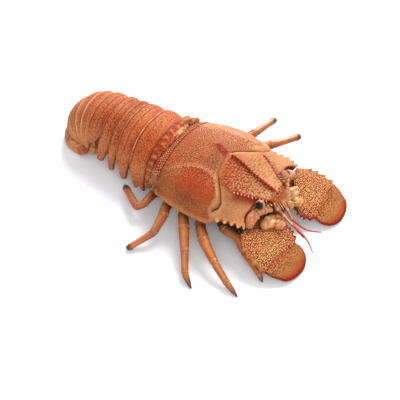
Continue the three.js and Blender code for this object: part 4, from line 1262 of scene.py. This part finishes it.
OUTER_TEETH = (0.36, 0.53, 0.72, 0.93)
INNER_TEETH = (0.2, 0.42, 0.64, 0.86)
OUTER_TOOTH_REACH = 2.1
INNER_TOOTH_REACH = 2.2
BLADE_GRAIN = 1.02
BLADE_END_GRAIN = 1.1


def blade_height(y):
    return PLATE_ROOT_Z + (y - PLATE_ROOT_Y) * PLATE_SLOPE


def plate_height(y, u, top, crown):
    """Height of a plate's upper or lower skin, which is flat at its edges and crowned between."""
    edge = np.minimum(rise(u, 0, 0.25), rise(u, 1, 0.75))
    upper = PLATE_THICKNESS / 2 + crown * edge
    return blade_height(y) + np.where(top, upper, -PLATE_THICKNESS / 2)


def toothed(along, places, width, out):
    """Teeth that lean to the front: steep ahead of the tip, long behind it."""
    teeth = [np.where(along < at, 1 - (at - along) / (1.5 * width), 1 - (along - at) / (0.5 * width))
             for at in places]
    return out * np.maximum(np.max(teeth, axis=0), 0)


def blade_place(side):
    """The large toothed plate of an antenna."""
    def place(u, v, layer):
        share = (u + 1) / 2
        x, y = patch(BLADE, share, v)
        outward = toothed(v, OUTER_TEETH, 0.07, OUTER_TOOTH_REACH) * rise(share, 0.88, 1)
        inward = toothed(v, INNER_TEETH, 0.09, INNER_TOOTH_REACH) * rise(share, 0.14, 0)
        top = layer == 0
        z = plate_height(y, share, top, 1.3 * rise(v, 0, 0.25))
        x = side * (x + outward - inward)
        points = np.stack([x, y, z], 1)
        uneven = drift(points, 4.5, 51) - 0.5
        mottle = drift(points, 1.8, 53) - 0.5
        grain = granules(points[:, :2], BLADE_GRAIN, 52)
        smooth_rim = rise(share, 0.93, 0.98) + rise(share, 0.05, 0.01)
        ahead = rise(v, 0.5, 0.95)
        step = np.where(top, 1, -0.4)
        points[:, 2] += step * 0.3 * grain * (1 - np.clip(smooth_rim, 0, 1)) * rise(v, 1, 0.97)
        root_patch = rise(v, 0.16, 0.04) * rise(share, 0.52, 0.74)
        inner_corner = bump(share, 0.5, 0.5) * rise(v, 0.93, 1)
        toothy = np.clip(inward / INNER_TOOTH_REACH, 0, 1)
        masks = {
            "grain": blend(grain, 0.55, 0.8 * np.clip(smooth_rim, 0, 1)),
            "flush": 0.3 + 0.5 * uneven + 0.5 * mottle + 0.5 * smooth_rim * rise(share, 0.5, 0.1)
            + 0.35 * ahead * rise(share, 0.45, 0.1) + 0.35 * rise(share, 0.9, 1) + 0.4 * inner_corner,
            "pale": 0.25 * rise(v, 0.3, 0.1) * rise(share, 0.5, 0.2)
            + 0.3 * bump(share, 0.45, 0.2) * bump(v, 0.8, 0.2)
            + 0.3 * rise(share, 0.93, 0.98) * (0.7 + mottle),
            "deep": root_patch * (0.7 + mottle) + 0.8 * rise(toothy, 0.05, 0.5)
            + 0.35 * rise(share, 0.07, 0.01),
            "dusk": 0.2 * ahead + 0.2 * uneven,
        }
        masks = {key: np.where(top, value, 0.6 * value) for key, value in masks.items()}
        return points, masks

    return place


RIM_SCALLOP = 0.6
BLADE_RAYS = 37


def fan_blade_place(side):
    """The rounded end plate of an antenna, with rays that end in a scalloped, crimson rim."""
    def place(u, v, layer):
        share = (u + 1) / 2
        x, y = patch(FAN_BLADE, share, v)
        ray = (share * BLADE_RAYS + 0.6 * np.sin(share * 19)) % 1
        scallop = bump(ray, 0.5, 0.3)
        rim = rise(v, 0.885 - 0.05 * (1 - scallop), 0.95)
        rim = rim + rise(share, 0.035, 0.005) + rise(share, 0.97, 0.995)
        y = y + RIM_SCALLOP * (1 - scallop) * rise(v, 0.93, 1) * rise(share, 0, 0.1) * rise(share, 1, 0.9)
        under = rise(v, 0.05, 0)
        y = y + 0.9 * under
        top = layer == 0
        z = plate_height(y, share, top, 0.9 * rise(v, 1, 0.3)) - 0.35 * under
        points = np.stack([side * x, y, z], 1)
        grain = granules(points[:, :2], BLADE_END_GRAIN, 62)
        streak = scallop * rise(v, 0.35, 0.75)
        step = np.where(top, 1, -0.3)
        points[:, 2] += step * (0.22 * grain * rise(v, 0.8, 0.3) + 0.16 * streak * rise(v, 1, 0.9))
        uneven = drift(points, 4.0, 63) - 0.5
        mottle = drift(points, 1.6, 64) - 0.5
        masks = {
            "grain": blend(0.5, grain, rise(v, 0.9, 0.3)),
            "flush": 0.1 + 0.5 * uneven + 0.45 * mottle + 0.5 * (1 - scallop) * rise(v, 0.5, 0.8)
            + 0.45 * rise(v, 0.74, 0.9) + 0.3 * rise(v, 0.25, 0.02),
            "pale": 0.35 * streak * rise(v, 0.9, 0.7)
            + 0.35 * rise(v, 0.1, 0.3) * rise(v, 0.8, 0.6) * (0.6 + mottle),
            "deep": 0.95 * np.clip(rim, 0, 1),
            "dusk": 0.15 * (1 - scallop) * rise(v, 0.4, 0.9),
        }
        return points, masks

    return place


def base_place(side):
    """The small plate between the head and the large toothed one."""
    def place(u, v, layer):
        share = (u + 1) / 2
        x, y = patch(BASE, share, v)
        thickness = BASE_THICKNESS * (0.35 + 0.65 * rise(share, 0, 0.3) * rise(share, 1, 0.7))
        y = y - 2.2 * rise(v, 0.75, 1)
        upper = blade_height(y) - 0.6 - 0.9 * rise(v, 0.7, 0.95)
        points = np.stack([side * x, y, np.where(layer == 0, upper, upper - thickness)], 1)
        points[:, 2] += 0.2 * (drift(points, 2.0, 71) - 0.5)
        # The plate is painted dark all over: painted shade in the gaps round it.
        return points, {"pale": 0.2 + 0 * v, "flush": 0.5 * drift(points, 2.4, 72), "deep": 0.75 + 0 * v}

    return place


ANTENNA_ROOT = (
    (24.4, -43.8, 15.8, 1.9), (22.8, -42.3, 18, 2.9), (19.4, -41.7, 19.8, 3.2), (15.6, -42.7, 20.9, 2.7),
    (14.7, -43.1, 21, 2.4), (11.8, -44.6, 20.9, 2.5), (9, -46.2, 19.8, 2), (7.2, -47.8, 18, 1.3),
)
ROOT_JOINT = 0.52  # share of the root at which its two lengths meet
ROOT_FURROW = 0.685  # share of the root at which a furrow crosses its second length


def mirrored(stations, side):
    return [on_side(station, side) for station in stations]


def antenna_root(side):
    """The bent first length of an antenna, round the front of the eye."""
    def paint(u, v, points):
        joint = bump(v, ROOT_JOINT, 0.035)
        dots = rise(granules(points, 2.2, 81, 0.4), 0.45, 0.8)
        grain = granules(points, 0.9, 82)
        return {
            "grain": 0.5 + 0.5 * grain, "flush": 0.5 * drift(points, 2.4, 83) + 0.5 * rise(v, 0.2, 0.05),
            "pale": 0.3 + 0.5 * joint + 0.4 * bump(v, 0.72, 0.03),
            "deep": 0.5 * dots * rise(v, 0.5, 0.3) + 0.8 * rise(v, 0.1, 0.0),
            "line": 0.7 * bump(v, ROOT_JOINT - 0.03, 0.014) + 0.6 * bump(v, ROOT_FURROW, 0.01)
            + 0.6 * rise(v, 0.9, 1),
        }

    def swells(u, v):
        joint = 0.35 * bump(v, ROOT_JOINT - 0.07, 0.04) - 0.45 * bump(v, ROOT_JOINT - 0.02, 0.016)
        joint = joint + 0.2 * bump(v, 0.3, 0.1)
        return joint - 0.35 * bump(v, ROOT_FURROW, 0.012) + 0.25 * bump(v, 0.73, 0.03)

    return limb(mirrored(ANTENNA_ROOT, side), 56, 90, paint, relief=swells)


HEAD_LOBES = {  # middle and radii of the pale, soft joints between head and antennae
    "joint_large": ((13.2, -48.9, 15), (5.6, 4.2, 3.5)),
    "joint_outer": ((10.4, -54.6, 13.8), (3.5, 3.2, 2.8)),
    "joint_inner": ((6.4, -51.6, 13.2), (2.5, 3.2, 2.3)),
}
KNUCKLE = ((14.2, 78.2, 5), (4.4, 4.6, 4.4))  # the same of the joint at the root of the tail fan

# The cushions that make up a soft lobe: place and size as shares of the lobe's radii.
CUSHIONS = ((0, 0, -0.02, 0.96), (-0.4, 0.16, 0.2, 0.56), (0.4, -0.14, 0.18, 0.54))
CUSHION_LUMPS = 0.42


def cushions(at, radii, seed):
    """A lobe of soft cushions that press against each other, painted darker in the creases between them and
    underneath: painted shade.
    """
    at, radii = np.array(at), np.array(radii)
    meshes = []
    for i, (*part, size) in enumerate(CUSHIONS):
        shift = np.array(part)

        def paint(ball_points, uneven, fine):
            reach = np.linalg.norm(shift + ball_points * size, axis=1)
            marks = rise(drift(ball_points * 1.9, 1.0, seed + i), 0.6, 0.74)
            crease = rise(reach, 1.03, 0.95) * (size < 0.9) + rise(uneven, -0.12, -0.3)
            return {"flush": 0.8 * marks, "pale": 0.4 * rise(uneven, 0, 0.25), "grain": fine,
                    "deep": 0.3 * crease + 0.4 * rise(ball_points[:, 2], -0.2, -0.7), "line": 0.15 * crease}

        meshes.append(pebble(at + radii * shift, radii * size, paint, CUSHION_LUMPS, seed + i))
    return meshes


MOUTHPART = ((4.4, -25, 2.8, 2), (4.6, -27.5, 3, 2.3), (5, -36, 5, 2.3), (4.8, -38, 5.8, 1.9),
             (4.2, -44.5, 9.6, 1.7), (3.8, -47, 11.6, 0.9))
ANTENNULES = {
    "right": ((-3.2, -44.8, 18.6, 1.2), (-3.2, -46.6, 17.9, 1.6), (-3.7, -49.2, 17, 1.2),
              (-5.2, -53.7, 16.2, 1.2), (-7, -58.7, 15.4, 1), (-8.1, -63.4, 14.6, 0.9),
              (-10, -70.6, 13.1, 0.7), (-11.8, -74.3, 12.4, 0.6), (-16, -79.8, 11, 0.4)),
    "left": ((3.2, -44.8, 18.6, 1.2), (3.2, -46.6, 17.9, 1.6), (2.3, -50, 16.8, 1.2),
             (0.7, -53, 15, 1.2), (-0.8, -55.9, 13.4, 1), (-1.9, -58.6, 12.2, 0.9),
             (-2.6, -65, 10.4, 0.7), (-1.9, -69, 9.5, 0.6), (2, -75.6, 8.2, 0.4)),
}
STEM_JOINTS = (0.13, 0.28, 0.44)  # share of an antennule where its stem's joints lie
FEELER_SLIM = 0.8
BRANCH_STEPS = (0.4, 0.8, 1.1)


def antennule(label):
    """A feeler with a jointed stem, a long ringed end and a short second branch."""
    def paint(u, v, points):
        joints = sum(bump(v, place, 0.012) for place in STEM_JOINTS)
        # The pale stripe along the top is a painted highlight and the darker underside painted shade.
        highlight_stripe = bump(u, 0.5, 0.16) * rise(v, 0.5, 0.4)
        base_tip = bump(v, STEM_JOINTS[0], 0.03)
        return {"pale": 0.5 * joints + 0.4 * highlight_stripe + 0.9 * base_tip, "flush": 0.35 + 0.5 * rise(v, 0.4, 0.6),
                "deep": 0.45 * bump(u, -0.5, 0.4) + 0.9 * rise(v, STEM_JOINTS[0] - 0.02, 0.03)}

    def swells(u, v):
        rings = 0.06 * np.sin(v * 400) * rise(v, 0.46, 0.5)
        return rings + 0.2 * sum(bump(v, place - 0.012, 0.01) for place in STEM_JOINTS) * (1 - v)

    side, stations = SIDES[label], ANTENNULES[label]
    main = [(x, y, z, size * FEELER_SLIM) for x, y, z, size in stations]
    branch = [
        (x + side * 0.35 * step, y - 0.2, z - 0.8 * step, 0.5 * size)
        for step, (x, y, z, size) in zip(BRANCH_STEPS, stations[4:7])
    ]
    return [limb(main, 20, 260, paint, relief=swells), limb(branch, 12, 60, paint, relief=swells)]


def mouthpart_paint(u, v, points):
    hairs = rise(granules(points, 0.9, 95), 0.3, 0.8)
    return {
        "flush": 0.4 + 0 * v, "deep": 0.35 + 0.4 * rise(v, 0.6, 1), "pale": 0.4 * hairs,
        "line": 0.3 * hairs,
    }


# ---------------------------------------------------------------------------
# Eyes
# ---------------------------------------------------------------------------

FACE = ((12, -39.8, 17.2), (13, 3.6, 6.6))  # middle and radii of the flesh behind an eye, painted dark as shade
LIP = ((0, -47.4, 12.8), (6.6, 4.8, 3.4))  # the same of the flesh below the snout, painted dark as shade
EYE_ROOT = (9.4, -43.3, 22.6)
EYE_RADIUS = 2.75
CORNEA_AIM = (0.82, -0.16, 0.55)
STALK = ((0, 1.3), (0.35, 1.3), (0.6, 1.9), (0.9, 2.2))  # share of the way to the eye, radius


def eye(side):
    """An eyeball with its black cornea, on a short stalk."""
    root, middle, aim = (np.array(on_side(at, side)) for at in (EYE_ROOT, EYE_PLACE, CORNEA_AIM))
    aim = aim / np.linalg.norm(aim)

    def ball_place(ball_points):
        facing = ball_points @ aim
        cornea = rise(facing, 0.66, 0.74)
        rim = bump(facing, 0.66, 0.05)
        reach = EYE_RADIUS * (1 - 0.03 * rim + 0.02 * cornea)
        shaded = rise(facing, 0.35, 0.62) * (1 - cornea)
        # The lower half of the ball is painted darker: painted shadow of the socket.
        return middle + ball_points * reach[:, None], {
            "deep": cornea, "line": shaded + 0.8 * rise(ball_points[:, 2], 0.1, -0.5) * (1 - cornea),
            "flush": 0.45 * rise(facing, -0.1, -0.6),
        }

    def stalk_paint(u, v, points):
        return {"flush": 0.5 + 0 * v, "line": 0.3 * drift(points, 0.8, 3)}

    stalk = [(*blend(root, middle, share), radius) for share, radius in STALK]
    return [ball(ball_place, 5), limb(stalk, 24, 24, stalk_paint)]


# ---------------------------------------------------------------------------
# Legs
# ---------------------------------------------------------------------------

# Whether the tip of a leg is a whole claw or broken off, and its joints from the body outwards, as
# x, y, z and radius.
LEGS = {
    "leg_right_1": (True, ((-14.2, -14, 6, 2.9), (-21, -22.6, 8, 2.9), (-28.8, -29.6, 11, 2.8),
                           (-29, -38.6, 9.8, 2.6), (-34.2, -46, 7.8, 2.2), (-40, -59.6, 4, 1.6),
                           (-42.4, -63.6, 1, 1))),
    "leg_right_2": (True, ((-14.2, -6.5, 6, 3), (-24, -11.6, 8, 3), (-34.7, -16.7, 11, 2.8),
                           (-43.2, -24.9, 12, 3), (-50.4, -37, 8, 2.2), (-55.7, -48.8, 3.5, 1.8),
                           (-58.2, -57.3, 0.5, 1.4))),
    "leg_right_3": (True, ((-14.2, 1, 6, 3), (-23, -1, 8, 3), (-32.1, -3, 11, 2.8), (-42.7, -11, 12.5, 3),
                           (-53.7, -19.1, 8.5, 2.2), (-63.4, -25.8, 4, 1.8), (-67.8, -33.1, 0.5, 1.4))),
    "leg_right_4": (False, ((-14.2, 8.5, 6, 3), (-23, 8.6, 8, 3), (-32.8, 8.2, 11, 2.8),
                            (-40.9, 4.8, 12, 2.8), (-51.6, 4.2, 7.5, 2.1), (-64.4, 12.2, 2, 1.7))),
    "leg_right_5": (False, ((-14.2, 15, 5.6, 2.6), (-20.6, 17.6, 5.6, 2.6), (-27.4, 21, 9, 2.5),
                            (-38, 21, 9, 2.3), (-41.1, 23.8, 8, 2.2), (-31.2, 39, 6, 1.9))),
    "leg_left_1": (True, ((14.2, -14, 6, 2.9), (22, -20, 8, 2.9), (29.6, -27, 10.6, 2.7),
                          (29.6, -38.6, 9.6, 2.5), (32, -51, 6.4, 2.2), (33, -59.6, 3.6, 1.6),
                          (34.4, -65, 0.5, 1))),
    "leg_left_2": (False, ((14.2, -6.5, 6, 3), (24, -8, 8, 3), (34.6, -8.6, 11, 2.8),
                           (44.4, -17.6, 12, 2.6), (61.4, -25.7, 9, 2))),
    "leg_left_3": (False, ((14.2, 1, 6, 3), (24, 1.6, 8, 3), (35, 1.4, 11, 2.8),
                           (47, -2.9, 12, 2.6), (65.8, -5.3, 9, 2))),
    "leg_left_4": (True, ((14.2, 8.5, 6, 3), (22, 10, 7.6, 3), (29, 11.4, 8.6, 2.7),
                          (36, 15.6, 6.6, 2.4), (35.4, 25.5, 2.8, 1.9), (33.6, 33, 0.5, 1.3))),
    "leg_left_5": (False, ((14.2, 15, 5.6, 2.6), (20.6, 17.6, 5.6, 2.6), (26.4, 20.8, 6.4, 2.2),
                           (30.4, 28, 3.8, 1.9), (29.6, 37, 1.9, 1.5))),
}
LEG_PROFILE = ((0, 0.96), (0.1, 1.08), (0.45, 1.06), (0.82, 1.1), (0.93, 1.16), (1, 1.06))
CLAW_PROFILE = ((0, 0.96), (0.12, 1.08), (0.6, 0.72), (1, 0.22))
LEG_FLATNESS = 0.88
KNEE = 0.95  # size of a joint's soft skin, in radii of the leg
STUMP = 1.02  # size of a broken tip, in radii of the leg


def leg_length(start, end, claw, broken, seed):
    """One length of a leg, from joint to joint."""
    start, end = np.array(start), np.array(end)

    def paint(u, v, points):
        uneven = drift(points, 3.0, seed)
        cuff = bump(v, 0.95, 0.04) * (not claw)
        tip = rise(v, -0.1, 0.9) if claw else 0 * v
        torn = rise(v + 0.1 * (uneven - 0.5), 0.86, 0.94) if broken else 0 * v
        # Near the body a leg is darker, partly its own colour and partly painted shade under the carapace;
        # the pale strip along its upper side is a painted highlight and the darker side opposite it painted
        # shade.
        dark_base_and_shade = rise(np.abs(points[:, 0]) - half_width(points[:, 1]), 3, -1)
        return {
            "flush": 0.2 * rise(uneven, 0.45, 0.75),
            "pale": 0.4 * cuff + 0.6 * bump(u, 0.56, 0.12) * rise(v, 0.02, 0.2) * rise(v, 0.95, 0.7),
            "deep": 0.85 * tip + 0.8 * torn + 0.35 * rise(v, 0.1, 0) + 0.65 * dark_base_and_shade
            + 0.45 * rise(np.cos((u - 0.56) * math.pi), 0.3, -0.8),
            "line": 0.6 * bump(v, 0.985, 0.016) * (not claw) + 0.4 * torn,
        }

    def swells(u, v):
        flute = 0.05 * np.cos(u * math.pi * 6) * rise(v, 0.1, 0.3) * rise(v, 0.9, 0.7)
        return flute + (0 if claw else 0.12 * bump(v, 0.95, 0.03) - 0.1 * bump(v, 0.87, 0.02))

    profile = CLAW_PROFILE if claw else LEG_PROFILE
    stations = [
        (*blend(start[:3], end[:3], t), blend(start[3], start[3] if claw else end[3], t) * size)
        for t, size in profile
    ]
    caps = (0.2, 0.12 if broken else CAP if claw else 0.25)
    return limb(stations, 24, 48, paint, LEG_FLATNESS, swells, caps)


def leg(name):
    """A leg's lengths, with soft skin at its joints and a ragged end where its tip is broken."""
    pointed, joints = LEGS[name]
    seed = 100 + sum(map(ord, name))
    last = len(joints) - 2
    meshes = [
        leg_length(start, end, pointed and i == last, not pointed and i == last, seed + i)
        for i, (start, end) in enumerate(zip(joints, joints[1:]))
    ]

    def soft_skin(ball_points, uneven, fine):
        # Paler on top: a painted highlight.
        return {"pale": 0.25 * rise(ball_points[:, 2], 0.3, 0.9), "deep": 0.12 + 0.3 * uneven}

    def torn_skin(ball_points, uneven, fine):
        return {"deep": 0.7 + 0.8 * uneven, "line": 0.6 * rise(uneven, -0.2, 0.2)}

    for *at, radius in joints[1:-1]:
        meshes.append(pebble(at, (KNEE * radius,) * 3, soft_skin, 0.06, seed, 3))
    if not pointed:
        *at, radius = joints[-1]
        meshes.append(pebble(at, (STUMP * radius,) * 3, torn_skin, 0.35, seed, 3))
    return meshes


# ---------------------------------------------------------------------------
# Belly and head
# ---------------------------------------------------------------------------

BELLY_BACK = 18.2
BELLY_FRONT = -24
BELLY_HALF_WIDTH = 13.6
FURROW_PITCH = 8.2
HEAD_FRONT = -43.5
head_ceiling = through((-44, 14.6), (-41, 12), (-38, CARAPACE_UNDERSIDE - SEAM))
head_floor = through((-44, 12), (-36, 7.8), (-27, 5.8))


def plated(x, y, z, seed):
    """Points and masks of the smooth plates below, and the furrows between them."""
    points = np.stack([x, y, z], 1)
    furrow = bump((y / FURROW_PITCH) % 1, 0.5, 0.05)
    middle = bump(x, 0, 0.7)
    masks = {"pale": 0.75 - 0.5 * furrow, "deep": 0.5 * furrow + 0.3 * middle,
             "flush": 0.4 * drift(points, 4.0, seed)}
    return points, masks, furrow + middle


def belly_place(u, v, layer):
    y = blend(BELLY_BACK, BELLY_FRONT, v)
    top = layer == 0
    x = u * BELLY_HALF_WIDTH * blend(1, 0.72, v) * np.where(top, 1, 0.72)
    points, masks, furrow = plated(x, y, np.where(top, CARAPACE_UNDERSIDE - SEAM, 0), 121)
    points[:, 2] += np.where(top, 0, 0.5 * np.clip(furrow, 0, 1) * rise(np.abs(u), 1, 0.9))
    return points, masks


def head_place(u, v, layer):
    y = blend(BELLY_FRONT - SEAM, HEAD_FRONT, v)
    top = layer == 0
    x = u * blend(13, 8, v) * np.where(top, 1, 0.7)
    points, masks, furrow = plated(x, y, np.where(top, head_ceiling(y), head_floor(y)), 122)
    points[:, 2] += np.where(top, 0, 0.4 * np.clip(furrow, 0, 1))
    return points, masks


# Dark all over: painted shade, where this flesh lies under the brim and the snout.
def socket_paint(ball_points, uneven, fine):
    return {"deep": 0.6 + 0.3 * uneven, "line": 0.5 + 0.4 * fine, "flush": 0.5 + uneven}


# Small lumps where the tail is hinged to the carapace: middle and radii.
HINGE_PLATES = (
    ((-23.4, 22.8, 22.6), (1.7, 1.6, 2.3)), ((-25.2, 21.6, 18.6), (1.5, 1.7, 2.4)),
    ((-24.6, 24.4, 15), (1.7, 1.5, 3)), ((16.4, 23.6, 31.8), (2.8, 1.9, 1.7)),
    ((19.8, 22.6, 29.8), (2.3, 2, 2.2)), ((15.4, 23.4, 33.4), (0.5, 0.6, 1.5)),
    ((14.6, 27.2, 31.2), (4.4, 2.6, 2.4)),
)


def hinge_paint(ball_points, uneven, fine):
    return {"dusk": 0.2 * rise(uneven, 0.1, -0.2), "flush": 0.5 * rise(uneven, -0.1, 0.2),
            "line": 0.3 * rise(uneven, -0.2, -0.4)}


# ---------------------------------------------------------------------------
# Assembly
# ---------------------------------------------------------------------------

piece("shell_back", [hood(300, 288, 5, carapace_place)], CARAPACE_SHELL, ["carapace"])
piece("shell_spines", shell_horns(), CARAPACE_SHELL)
piece("belly_plates", [slab(48, 90, belly_place)], LEG_SHELL, ["belly"])
piece("head_plates", [slab(40, 60, head_place)], LOBE_SHELL, ["head_underside"])
flesh = [pebble(on_side(FACE[0], side), FACE[1], socket_paint, 0.2, 12, 5) for side in SIDES.values()]
flesh.append(pebble(*LIP, socket_paint, 0.3, 15, 5))
piece("eye_sockets", flesh, ROOT_SHELL)
hinges = [pebble(at, radii, hinge_paint, 0.35, 21 + i) for i, (at, radii) in enumerate(HINGE_PLATES)]
piece("tail_hinges", hinges, FAN_SHELL)

for name, facts in TAIL_SEGMENTS.items():
    mesh = slab(230, 44, segment_place(name, *facts))
    piece(name.replace("tail_segment", "tail_ring"), [mesh], TAIL_SHELL, [name])
piece("tail_end", [slab(190, 130, hind_plate_place)], TAIL_SHELL, ["hind_plate"])
for name, (start, end) in FAN_LOBES.items():
    mesh = slab(70 if end - start > 40 else 44, 60, fan_place(start, end))
    piece(name.replace("fan", "fan_lobe"), [mesh], FAN_SHELL, [name])

for label, side in SIDES.items():
    blade = slab(150, 130, blade_place(side))
    piece(f"blade_{label}", [blade], BLADE_SHELL, [f"antenna_blade_{label}"])
    blade_end = slab(190, 60, fan_blade_place(side))
    piece(f"blade_end_{label}", [blade_end], BLADE_END_SHELL, [f"antenna_fan_{label}"])
    piece(f"blade_root_{label}", [antenna_root(side)], ROOT_SHELL, [f"antenna_root_{label}"])
    base = slab(40, 30, base_place(side))
    piece(f"blade_base_{label}", [base], LOBE_SHELL, [f"antenna_base_{label}"])
    for i, (name, (at, radii)) in enumerate(HEAD_LOBES.items()):
        lobe = cushions(on_side(at, side), radii, 130 + 9 * i)
        piece(f"{name}_{label}_lobe", lobe, LOBE_SHELL, [f"{name}_{label}"])
    knuckle = cushions(on_side(KNUCKLE[0], side), KNUCKLE[1], 170)
    knuckle.append(slab(30, 34, web_place(side)))
    piece(f"fan_knuckle_{label}", knuckle, FAN_SHELL, [f"fan_root_{label}"])
    mouth = limb(mirrored(MOUTHPART, side), 28, 90, mouthpart_paint)
    piece(f"mouth_limb_{label}", [mouth], LOBE_SHELL, [f"mouthpart_{label}"])
    piece(f"feeler_{label}", antennule(label), FEELER_SHELL, [f"antennule_{label}"])
    piece(f"eyeball_{label}", eye(side), EYE_SHELL, [f"eye_{label}"])

for name in LEGS:
    piece(name.replace("leg", "walking_leg"), leg(name), LEG_SHELL, [name])

# ---------------------------------------------------------------------------
# Table, light and camera
# ---------------------------------------------------------------------------


TABLE_HALF_LENGTH = 2.0  # metres, as are all lengths from here on
LIGHTS = (  # name, place, size, power and colour
    ("window", (0.72, 0.1, 0.78), 0.55, 12.8, (1.0, 0.985, 0.96)),
    ("rim", (0.85, 0.38, 0.3), 0.6, 6.0, (1, 1, 1)),
    ("fill", (-0.7, -0.5, 0.6), 0.9, 5.0, (1, 1, 1)),
)
ROOM_COLOUR = (0.93, 0.96, 1.0, 1)
ROOM_LIGHT = 0.75
CAMERA_PLACE = (-0.32435, -0.21203, 0.42112)
CAMERA_TARGET = (-0.01, 0, 0)
LENS = 85
SENSOR = 36


def table():
    bm = bmesh.new()
    bmesh.ops.create_grid(bm, x_segments=2, y_segments=2, size=TABLE_HALF_LENGTH)
    mesh = as_mesh(bm, "table")
    shader = Shader("table_white")
    tone = shader.mix(shader.noise(6.0) * 0.3, (0.92, 0.925, 0.935, 1), (0.9, 0.905, 0.915, 1))
    mesh.materials.append(shader.finish(tone, 0.6))
    made = bpy.data.objects.new("table", mesh)
    bpy.context.scene.collection.objects.link(made)


def aimed(name, data, place, target=(0, 0, 0)):
    """Puts a light or a camera at a place, facing a target."""
    made = bpy.data.objects.new(name, data)
    made.location = place
    made.rotation_euler = (Vector(target) - Vector(place)).to_track_quat("-Z", "Y").to_euler()
    bpy.context.scene.collection.objects.link(made)
    return made


def soft_light(name, place, size, power, colour):
    light = bpy.data.lights.new(name, "AREA")
    light.shape = "DISK"
    light.size = size
    light.energy = power
    light.color = colour
    aimed(name, light, place)


def room():
    world = bpy.data.worlds.new("room")
    world.use_nodes = True
    background = world.node_tree.nodes["Background"].inputs
    background["Color"].default_value = ROOM_COLOUR
    background["Strength"].default_value = ROOM_LIGHT
    bpy.context.scene.world = world


def camera():
    made = bpy.data.cameras.new("camera")
    made.lens = LENS
    made.sensor_width = SENSOR
    bpy.context.scene.camera = aimed("camera", made, CAMERA_PLACE, CAMERA_TARGET)


table()
for facts in LIGHTS:
    soft_light(*facts)
room()
camera()
bpy.context.scene.view_settings.view_transform = "Standard"
